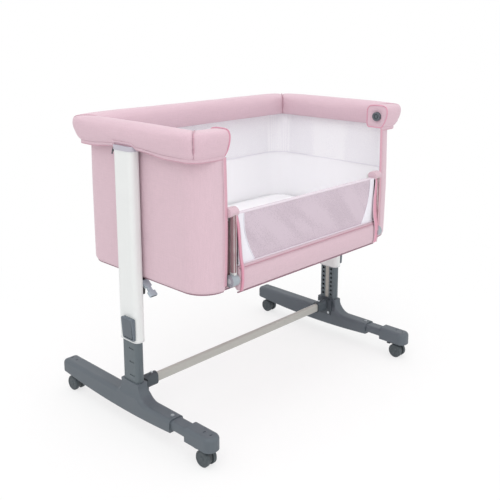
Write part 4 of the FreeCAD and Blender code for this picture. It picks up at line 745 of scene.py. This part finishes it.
def pad_face(z):
    """How far out the pad's outer face is, as a share of its half width, at one height."""
    up = (z - RIM_MID) / HALF_HIGH
    for (low, near), (high, far) in zip(OUTER_SIDE, OUTER_SIDE[1:]):
        if up < high:
            return near + (far - near) * min(max((up - low) / (high - low), 0), 1)
    return OUTER_SIDE[-1][1]


whole_rim = ends[-1][::-1] + runs["rim_pad_left"][1:] + runs["rim_pad_back"][1:]
whole_rim += runs["rim_pad_right"][1:] + ends[1][1:]
rings, crests = [], []
for inner, outer in whole_rim:
    middle, reach = (inner + outer) / 2, (outer - inner) / 2
    away = reach.normalized()
    lift = (rim_hem(outer.y, outer.x) - RIM_LOW) * (CAP_TOP + HEM_TALL - RIM_LOW - 2) \
        / (CAP_TOP - RIM_LOW)
    wave = 0.5 * ripple(outer.x, outer.y, 0, 34, 2.2)
    low, high = RIM_LOW - HEM_TALL + 2 + lift + wave, RIM_LOW + 2 + lift + wave
    ring = []
    for turn in around(16):
        z = (low + high) / 2 + HEM_TALL / 2 * math.sin(turn)
        out = HALF_WIDE * pad_face(max(z, RIM_LOW)) + HEM_THICK / 2 * (0.4 + math.cos(turn))
        spot = middle + away * out
        ring.append((spot.x, spot.y, z))
    rings.append(ring)
    spot = middle + away * (HALF_WIDE * pad_face(max(low, RIM_LOW)) + 1.6)
    crests.append((spot.x, spot.y, low + 0.4))
fixed(piece("rim_hem", *skin(rings), pale_rim_linen), "bassinet", "rim_fabric")
fixed(cord_along("rim_hem_piping", crests, 1.5, deep_piping), "bassinet", "rim_fabric")


def section_cord(name, pair, shrink, radius, material):
    """A cord round the pad's section at one place along it."""
    middle, reach = (pair[0] + pair[1]) / 2, (pair[1] - pair[0]) / 2
    path = []
    for across, up in rounded(PAD_SECTION, 3):
        spot = middle + reach * across * shrink
        path.append((spot.x, spot.y, max(RIM_MID + HALF_HIGH * up * shrink, RIM_LOW + 1)))
    return cord_along(name, path, radius, material, joined=True)


mitres = [section_cord(f"mitre_{index}", pair, 0.945, 1.1, deep_piping)
          for index, pair in enumerate((runs["rim_pad_left"][0], runs["rim_pad_back"][0],
                                        runs["rim_pad_back"][-1], runs["rim_pad_right"][-1]))]
rims = [section_cord(f"end_{hand}", pairs[-1], 0.995, 1.7, rose_tape)
        for hand, pairs in ends.items()]
fixed(as_one("rim_seam_cords", mitres + rims), "bassinet", "rim_fabric")

# ------------------------------------------------------------------ folding front
# The gate's top rail is wrapped in a padded strip of the same pink cloth, and knitted lavender
# mesh with white bound ends runs from it up to the elbow. Zip tapes edge the gate's two ends.
RAIL_Y, ELBOW_Y, ELBOW_Z = -273.5, -262, 648
PAD_END, PAD_TOP, PAD_FOOT = 308, 505, 428
STRIP_DEEP, STRIP_TALL = 13.2, 38.2
ARM_X, ARM_Y, POST_Y = 320, -273.5, -248
MESH_TOP, MESH_END, BARRIER_LOW, BARRIER_END = 641, 303, 440, 306
lavender_mesh = net("lavender_knitted_mesh", "#cdbdc8", "#b3a3af", 3.6)
shell_pink = woven("pink_strip_cloth", "#d1b5bf", tint=0.045)
pale_edge = woven("pale_lavender_edge", "#ddd2db", (1.0, 5), 0.2, 0.03, 0.8, 0.2)

shrink = 0.955
rings = []
for x, _, _ in row_across(PAD_END, RAIL_Y, 0, 90):
    near = PAD_END - abs(x)
    pinch = shrink * (1 - 0.12 * math.exp(-(near / 4) ** 2))
    ring = []
    for turn in around(36):
        across, up = math.cos(turn), math.sin(turn)
        across = math.copysign(abs(across) ** 0.8, across)
        up = math.copysign(abs(up) ** 0.62, up)
        swell = 0.8 * ripple(x, across * 14, up * 38, 48, 2.0) + 0.3 * ripple(x, across, up, 18)
        ring.append((x, RAIL_Y + STRIP_DEEP * across * pinch + 0.3 * swell * across,
                     (PAD_TOP + PAD_FOOT) / 2 + STRIP_TALL * up * pinch + 0.5 * swell * up))
    rings.append(ring)
strip = filled(piece("gate_rail_sleeve", *skin(rings), shell_pink), 5, 2.2,
               lambda spot: abs(spot.x) > PAD_END - 5 or spot.z > 497 or spot.z < 433)
fixed(strip, "gate", "rim_fabric")
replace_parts(strip, "gate_rail_pad")
strip_seam = woven("rose_strip_seam", "#bd8c9b", *CORD_CLOTH)
# The lowest piping is dark mauve: partly its own colour, partly painted shade for the dark line
# along the strip's foot.
edges = [cord_along(f"strip_piping_{level}", row_across(PAD_END - 1, RAIL_Y + depth, level, 50),
                    thick, material, 6)
         for level, depth, thick, material in ((503.8, -2.5, 2.4, pale_edge),
                                               (497.0, -10.6, 1.4, strip_seam),
                                               (429.0, -2.5, 2.2, shaded_seam_cord))]
fixed(as_one("strip_pipings", edges), "gate", "rim_fabric")


def window_end(z):
    """Where the mesh ends and its white binding begins; the window's lower corners are round."""
    return 282 - 42 * max((625 - z) / 120, 0) ** 1.9


def curtain(name, low, high, half, y, thick, folds, bound, *materials):
    """A stretched panel of mesh in the gate, with faint slanting folds and bound ends."""
    across = [-1 - (6 - step) / 6 for step in range(6)]
    across += [-1 + 2 * step / 72 for step in range(73)] + [-share for share in across[::-1]]
    rings = []
    for share in across:
        front, back = [], []
        for step in range(21):
            z = low + (high - low) * step / 20
            middle = window_end(z) if bound else half - 6
            x = middle * share
            if abs(share) > 1:
                x = math.copysign(middle + (half - middle) * (abs(share) - 1), share)
            rise = math.sin(math.pi * step / 20)
            near = soft((half - abs(x)) / 40)
            slant = math.sin((x + 0.9 * z) / 31) * 0.6 + ripple(x + z, 0, z * 0.4, 40, 4.0)
            out = folds * rise * near * slant - (0.8 if abs(share) > 1 and bound else 0)
            front.append((x, y - thick / 2 + out, z))
            back.append((x, y + thick / 2 + out, z))
        rings.append(front + back[::-1])
    points, faces = skin(rings)
    bound_rows = [row for row in range(len(across)) if bound and not 6 <= row < len(across) - 7]
    slots = [int(face[0] // len(rings[0]) in bound_rows) for face in faces]
    return piece(name, points, faces, *materials, slots=slots)


gate_mesh = curtain("gate_mesh_cloth", PAD_TOP - 2, MESH_TOP, MESH_END, RAIL_Y, 1.4, 1.6, True,
                    lavender_mesh, white_binding)
fixed(gate_mesh, "gate", "mesh_fabric")
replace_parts(gate_mesh, "gate_mesh_panel")
barrier = fixed(curtain("barrier_mesh_cloth", BARRIER_LOW, MESH_TOP, BARRIER_END, -256.4, 1.4,
                        0.4, False, lavender_mesh), "bassinet", "mesh_fabric")
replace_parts(barrier, "barrier_panel")

# White piping round the window's ends, and a narrow pale edge along the mesh's top.
pipings = []
for hand in (-1, 1):
    path = [(hand * window_end(z), RAIL_Y - 2.0, z) for z in range(640, 504, -4)]
    pipings.append(cord_along(f"window_piping_{hand}", path, 1.1, white_binding, 6))
path = [(-MESH_END + 2 * MESH_END * step / 60,
         RAIL_Y - 0.2 + 0.4 * ripple(10 * step, 0, 0, 60, 8.0), MESH_TOP) for step in range(61)]
pipings.append(cord_along("mesh_top_edge", path, 1.5, pale_edge, 8))
fixed(as_one("gate_mesh_binding", pipings), "gate", "mesh_fabric")


def toothed(name, path, pitch, tooth, material, body, slot):
    """A row of small rounded blocks along a path, such as a zip's teeth or a row of stitches:
    pitch is their spacing and tooth their size along, across and up, all in mm."""
    line = bpy.data.curves.new(name, "CURVE")
    line.dimensions = "3D"
    spline = line.splines.new("POLY")
    spline.points.add(len(path) - 1)
    for point, spot in zip(spline.points, path):
        point.co = (*(Vector(spot) * MM), 1)
    made = in_scene(f"{name}_line", line)
    tree = bpy.data.node_groups.new(f"{name}_row", "GeometryNodeTree")
    for label, kind in (("Line", "NodeSocketGeometry"), ("Pitch", "NodeSocketFloat"),
                        ("Tooth", "NodeSocketVector")):
        tree.interface.new_socket(label, in_out="INPUT", socket_type=kind)
    tree.interface.new_socket("Row", in_out="OUTPUT", socket_type="NodeSocketGeometry")
    given = add(tree, "NodeGroupInput")
    even = add(tree, "GeometryNodeResampleCurve", {"Curve": given.outputs["Line"],
                                                   "Length": given.outputs["Pitch"]},
               mode="LENGTH")
    heading = add(tree, "GeometryNodeInputTangent").outputs[0]
    turned = add(tree, "FunctionNodeAlignRotationToVector", {"Vector": heading}, axis="X")
    block = add(tree, "GeometryNodeMeshIcoSphere", {"Radius": 0.5, "Subdivisions": 1})
    placed = add(tree, "GeometryNodeInstanceOnPoints",
                 {"Points": even.outputs[0], "Instance": block.outputs[0],
                  "Rotation": turned.outputs[0], "Scale": given.outputs["Tooth"]})
    real = add(tree, "GeometryNodeRealizeInstances", {0: placed.outputs[0]})
    coloured = add(tree, "GeometryNodeSetMaterial", {"Geometry": real.outputs[0],
                                                     "Material": material})
    add(tree, "NodeGroupOutput", {0: coloured.outputs[0]})
    modifier = made.modifiers.new("row", "NODES")
    modifier.node_group = tree
    sizes = {"Pitch": pitch * MM, "Tooth": [part * MM for part in tooth]}
    for socket in tree.interface.items_tree:
        if socket.in_out == "INPUT" and socket.name in sizes:
            modifier[socket.identifier] = sizes[socket.name]
    mesh = bpy.data.meshes.new_from_object(
        made.evaluated_get(bpy.context.evaluated_depsgraph_get()))
    bpy.data.objects.remove(made)
    mesh.polygons.foreach_set("use_smooth", [True] * len(mesh.polygons))
    return fixed(in_scene(name, mesh), body, slot)


def ribbon(name, path, away, wide, thick, material):
    """A flat tape along a path: away is the direction in which its width lies."""
    rings = []
    across = Vector(away).normalized()
    for index, spot in enumerate(path):
        spot = Vector(spot)
        heading = Vector(path[min(index + 1, len(path) - 1)]) - Vector(path[max(index - 1, 0)])
        up = across.cross(heading).normalized() * thick / 2
        side = across * wide / 2
        rings.append([tuple(spot + side * a + up * b)
                      for a, b in ((-1, -0.6), (-0.94, -1), (0.94, -1), (1, -0.6), (1, 0.6),
                                   (0.94, 1), (-0.94, 1), (-1, 0.6))])
    return piece(name, *skin(rings), material)


# Zip tapes: one along each end of the gate and one along each front edge of the cover, with
# moulded teeth, and a die-cast slider with a pull on each.
slider_zinc = moulded("dark_zinc_slider", "#5b6064", 0.35, 0.6, 0.03, 0.08, 0.8)
rose_teeth = moulded("rose_acetal_teeth", "#c58197", 0.4, 0.5, 0.02)
pale_tape = woven("pale_rose_zip_tape", "#d3a3b2", *TAPE_CLOTH)


def slider(name, spot, hand, drop):
    """A zip's slider and the pull that hangs from it."""
    x, y, z = spot
    rings = []
    for height, wide, deep in ((-6, 1.8, 1.6), (-5, 3.2, 2.4), (0, 4.2, 3.0), (5, 3.8, 2.6),
                               (6, 2.2, 1.6)):
        rings.append([(x + wide * math.cos(turn), y - 1 + deep * math.sin(turn), z + height)
                      for turn in around(12)])
    body = piece(f"{name}_body", *skin(rings), slider_zinc)
    rings = []
    for share in range(9):
        wide = 1.5 + 1.6 * soft(share / 8)
        low = z + 3 - drop * share / 8
        rings.append([(x + wide * a + hand * share * 0.25, y - 4.6 + 0.5 * b - 0.15 * share, low)
                      for a, b in ((-1, -1), (1, -1), (1, 1), (-1, 1))])
    return [body, piece(f"{name}_pull", *skin(rings), slider_zinc)]


def front_edge(z, stand):
    """The depth at which trim stands on the cover's front edge, at one height."""
    return COVER_FRONT - stand - hang(GAP, COVER_FRONT, z, 0)


SIDES = ((-1, "left"), (1, "right"))
TAPE, TOOTH = 9.5, (2.6, (1.7, 2.2, 2.6), rose_teeth)
gate_zips, edge_zips, sliders = [], [], []
for hand, side in SIDES:
    path = [(hand * 316, -268, 653), (hand * 314, -275, 645), (hand * 311, -279, 630),
            (hand * 307, -279.5, 610), (hand * 303, -279, 580), (hand * 301, -279.5, 550),
            (hand * 300, -282, 520), (hand * 300, -287.5, 500), (hand * 300, -289, 480),
            (hand * 300, -288.6, 455), (hand * 300, -284, 434)]
    fine = [Vector(a).lerp(Vector(b), step / 5) for a, b in zip(path, path[1:])
            for step in range(5)] + [Vector(path[-1])]
    for _ in range(4):
        fine = [fine[0]] + [(a + 2 * b + c) / 4 for a, b, c in zip(fine, fine[1:], fine[2:])] \
            + [fine[-1]]
    wide = TAPE if hand < 0 else 20
    fine = [spot + Vector(((wide - TAPE) / 2, 0, 0)) for spot in fine]
    gate_zips.append(ribbon(f"gate_tape_{side}", fine, (1, 0.15 * hand, 0), wide, 1.2, rose_tape))
    gate_zips.append(cord_along(f"gate_tape_fold_{side}",
                                [spot + Vector((-hand * wide / 2, -0.6, 0)) for spot in fine], 1.2,
                                shell_pink, 6))
    toothed(f"gate_zip_teeth_{side}",
            [spot + Vector((hand * (wide / 2 - 0.4), -1.0, 0)) for spot in fine], *TOOTH,
            "gate", "rim_fabric")
    edge = [(hand * (GAP - 0.6 - 1.2 * math.sin(math.pi * (795 - z) / 355)), front_edge(z, 0.6), z)
            for z in range(793, 452, -10)]
    edge_zips.append(ribbon(f"edge_tape_{side}", edge, (1, 0, 0), 12, 1.3, pale_tape))
    edge_zips.append(cord_along(f"edge_fold_{side}",
                                [(x + hand * 5, y - 0.3, z) for x, y, z in edge], 1.3,
                                pink_linen, 6))
    toothed(f"edge_zip_teeth_{side}", [(x - hand * 4.8, y, z) for x, y, z in edge], *TOOTH,
            "bassinet", "cover_fabric")
    sliders += slider(f"slider_{side}", (hand * 318, -268, 655), hand, 13)
fixed(as_one("gate_zip_tapes", gate_zips), "gate", "rim_fabric")
fixed(as_one("cover_zip_tapes", edge_zips), "bassinet", "cover_fabric")
fixed(as_one("zip_sliders", sliders), "bassinet", "steel")

# Knitted sleeves hide the folding arms and the posts behind them, and a cuff hides each elbow.
# A gusset closes the gap beside each post, and a pale fold joins the two meshes at the elbows.
# The knit's deep brownish rose is painted shade: it stands for the deep shadow in the gaps beside
# the gate's ends.
shaded_rose_knit = woven("rose_knit_painted_shade", "#8f6e74", (1.4, 5), 0.3, 0.1, 0.9, 0.2)


def sleeve(name, x, y, high, low, across, deep, material):
    """A slack knitted tube round an upright bar."""
    rings = []
    for step in range(31):
        z = high - (high - low) * step / 30
        rings.append([(x + (across + 0.5 * ripple(z, 0, turn, 14)) * math.cos(turn),
                       y + (deep + 0.5 * ripple(z, turn, 0, 18)) * math.sin(turn), z)
                      for turn in around(20)])
    return piece(name, *skin(rings), material)


arm_cloths = []
for hand in (-1, 1):
    arm_cloths.append(sleeve(f"arm_sleeve_{hand}", hand * ARM_X, ARM_Y, 642, 488, 6.8, 9.6,
                             shaded_rose_knit))
    rings = []
    for across, radius in ((-15.5, 0.8), (-14.8, 0.94), (0, 1), (15, 0.94), (16, 0.8)):
        rings.append([(hand * (ARM_X + across), ELBOW_Y - 4 + 17 * radius * math.cos(turn),
                       ELBOW_Z + 13.5 * radius * math.sin(turn)) for turn in around(24)])
    arm_cloths.append(piece(f"elbow_cuff_{hand}", *skin(rings), shell_pink))
fixed(as_one("arm_sleeves", arm_cloths), "gate", "mesh_fabric")
gussets = []
for hand in (-1, 1):
    rings = []
    for step in range(13):
        x = 346 - 40 * step / 12
        rings.append([(hand * x, -259.5 + 1.5 * math.sin(step * 1.1 + z / 60) + depth, z)
                      for depth, levels in ((-0.5, range(446, 641, 12)),
                                            (0.5, range(638, 445, -12))) for z in levels])
    gussets.append(piece(f"gusset_{hand}", *skin(rings), shaded_rose_knit))
gussets.append(ribbon("mesh_top_fold", row_across(BARRIER_END - 1, -265, MESH_TOP - 0.4, 40),
                      (0, 1, 0), 17, 1.2, pale_edge))
fixed(as_one("front_gussets", gussets), "bassinet", "mesh_fabric")
fixed(as_one("post_sleeves", [sleeve(f"post_sleeve_{hand}", hand * ARM_X, POST_Y, 632, 466, 7.6,
                                     7.6, shaded_rose_knit) for hand in (-1, 1)]),
      "bassinet", "mesh_fabric")

# Rows of stitches: along the strip's seam and along the cover's two front edges.
STITCH = (4.2, (2.8, 0.7, 0.7), deep_piping)
toothed("strip_stitches", row_across(302, RAIL_Y - 11.9, 493, 60), *STITCH, "gate", "rim_fabric")
for hand, side in SIDES:
    toothed(f"edge_stitches_{side}", [(hand * (GAP + 9), front_edge(z, 0.5), z)
                                      for z in range(780, 470, -10)], *STITCH,
            "bassinet", "cover_fabric")

# A short pull hangs from the zip that closes the cover under the left rim.
RIM_ZIP_X, RIM_ZIP_Y, RIM_ZIP_Z, SMALLER = -437.5, 66, 785, 0.9
pull = slider("rim_zip", (0, 0, 0), -1, 16)
for part in pull:
    for vert in part.data.vertices:
        x, y, z = vert.co / MM
        vert.co = Vector((RIM_ZIP_X + (y + 1) * SMALLER, RIM_ZIP_Y - x,
                          RIM_ZIP_Z + z * SMALLER)) * MM
fixed(as_one("rim_zip_slider", pull), "bassinet", "steel")

# ------------------------------------------------------------------ strap under the left end
# One half of a side-release buckle in pale acetal, and its black polypropylene webbing, which
# ties the crib to the parents' bed.
pale_acetal = moulded("pale_blue_grey_acetal", "#b3bfc8", 0.38, 0.9, 0.05)
webbing = woven("black_polypropylene_webbing", "#2c2d30", (1.1, 1.6), 0.4, 0.25, 0.6, 0.1)
STRAP_X, STRAP_Y, STRAP_TOP, SLANT = -409, -2, 440, math.radians(40)


def slung(along, up=0.0):
    """A place on the buckle, which hangs aslant: how far along it and how far above its middle."""
    y, z = -14 - along, -6.1 + up
    return (STRAP_X, STRAP_Y + y * math.cos(SLANT) - z * math.sin(SLANT),
            STRAP_TOP + y * math.sin(SLANT) + z * math.cos(SLANT))


# A broad plate, a narrow waist with a window at either side, and the open mouth.
buckle = [ribbon(f"buckle_{name}", [slung(first), slung(first + 2), slung(last - 2), slung(last)],
                 (1, 0, 0), width, thick, pale_acetal)
          for name, first, last, width, thick in (("plate", 1, 27, 24, 8), ("waist", 25, 45, 13, 7),
                                                  ("mouth", 43, 59, 24, 8.4))]
# A black block fills the open mouth: painted shade for its hollow.
buckle.append(ribbon("buckle_mouth_painted_shade", [slung(56), slung(59.4)], (1, 0, 0), 18, 5, webbing))
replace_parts(fixed(as_one("strap_buckle_socket", buckle), "bassinet", "buckle_plastic"),
            "strap_buckle")
tail = [(STRAP_X, STRAP_Y - 1.5 + 1.4 * math.sin(0.9 * step), STRAP_TOP - 61 * step / 8)
        for step in range(9)]
straps = [ribbon("webbing_tail", tail, (1, 0, 0), 19, 1.6, webbing),
          ribbon("webbing_loop", [slung(-13, 6), slung(-6, 4.4), slung(1, 4.8), slung(5, 4.8)],
                 (1, 0, 0), 19, 1.6, webbing)]
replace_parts(fixed(as_one("strap_webbing_band", straps), "bassinet", "webbing"), "strap_webbing")
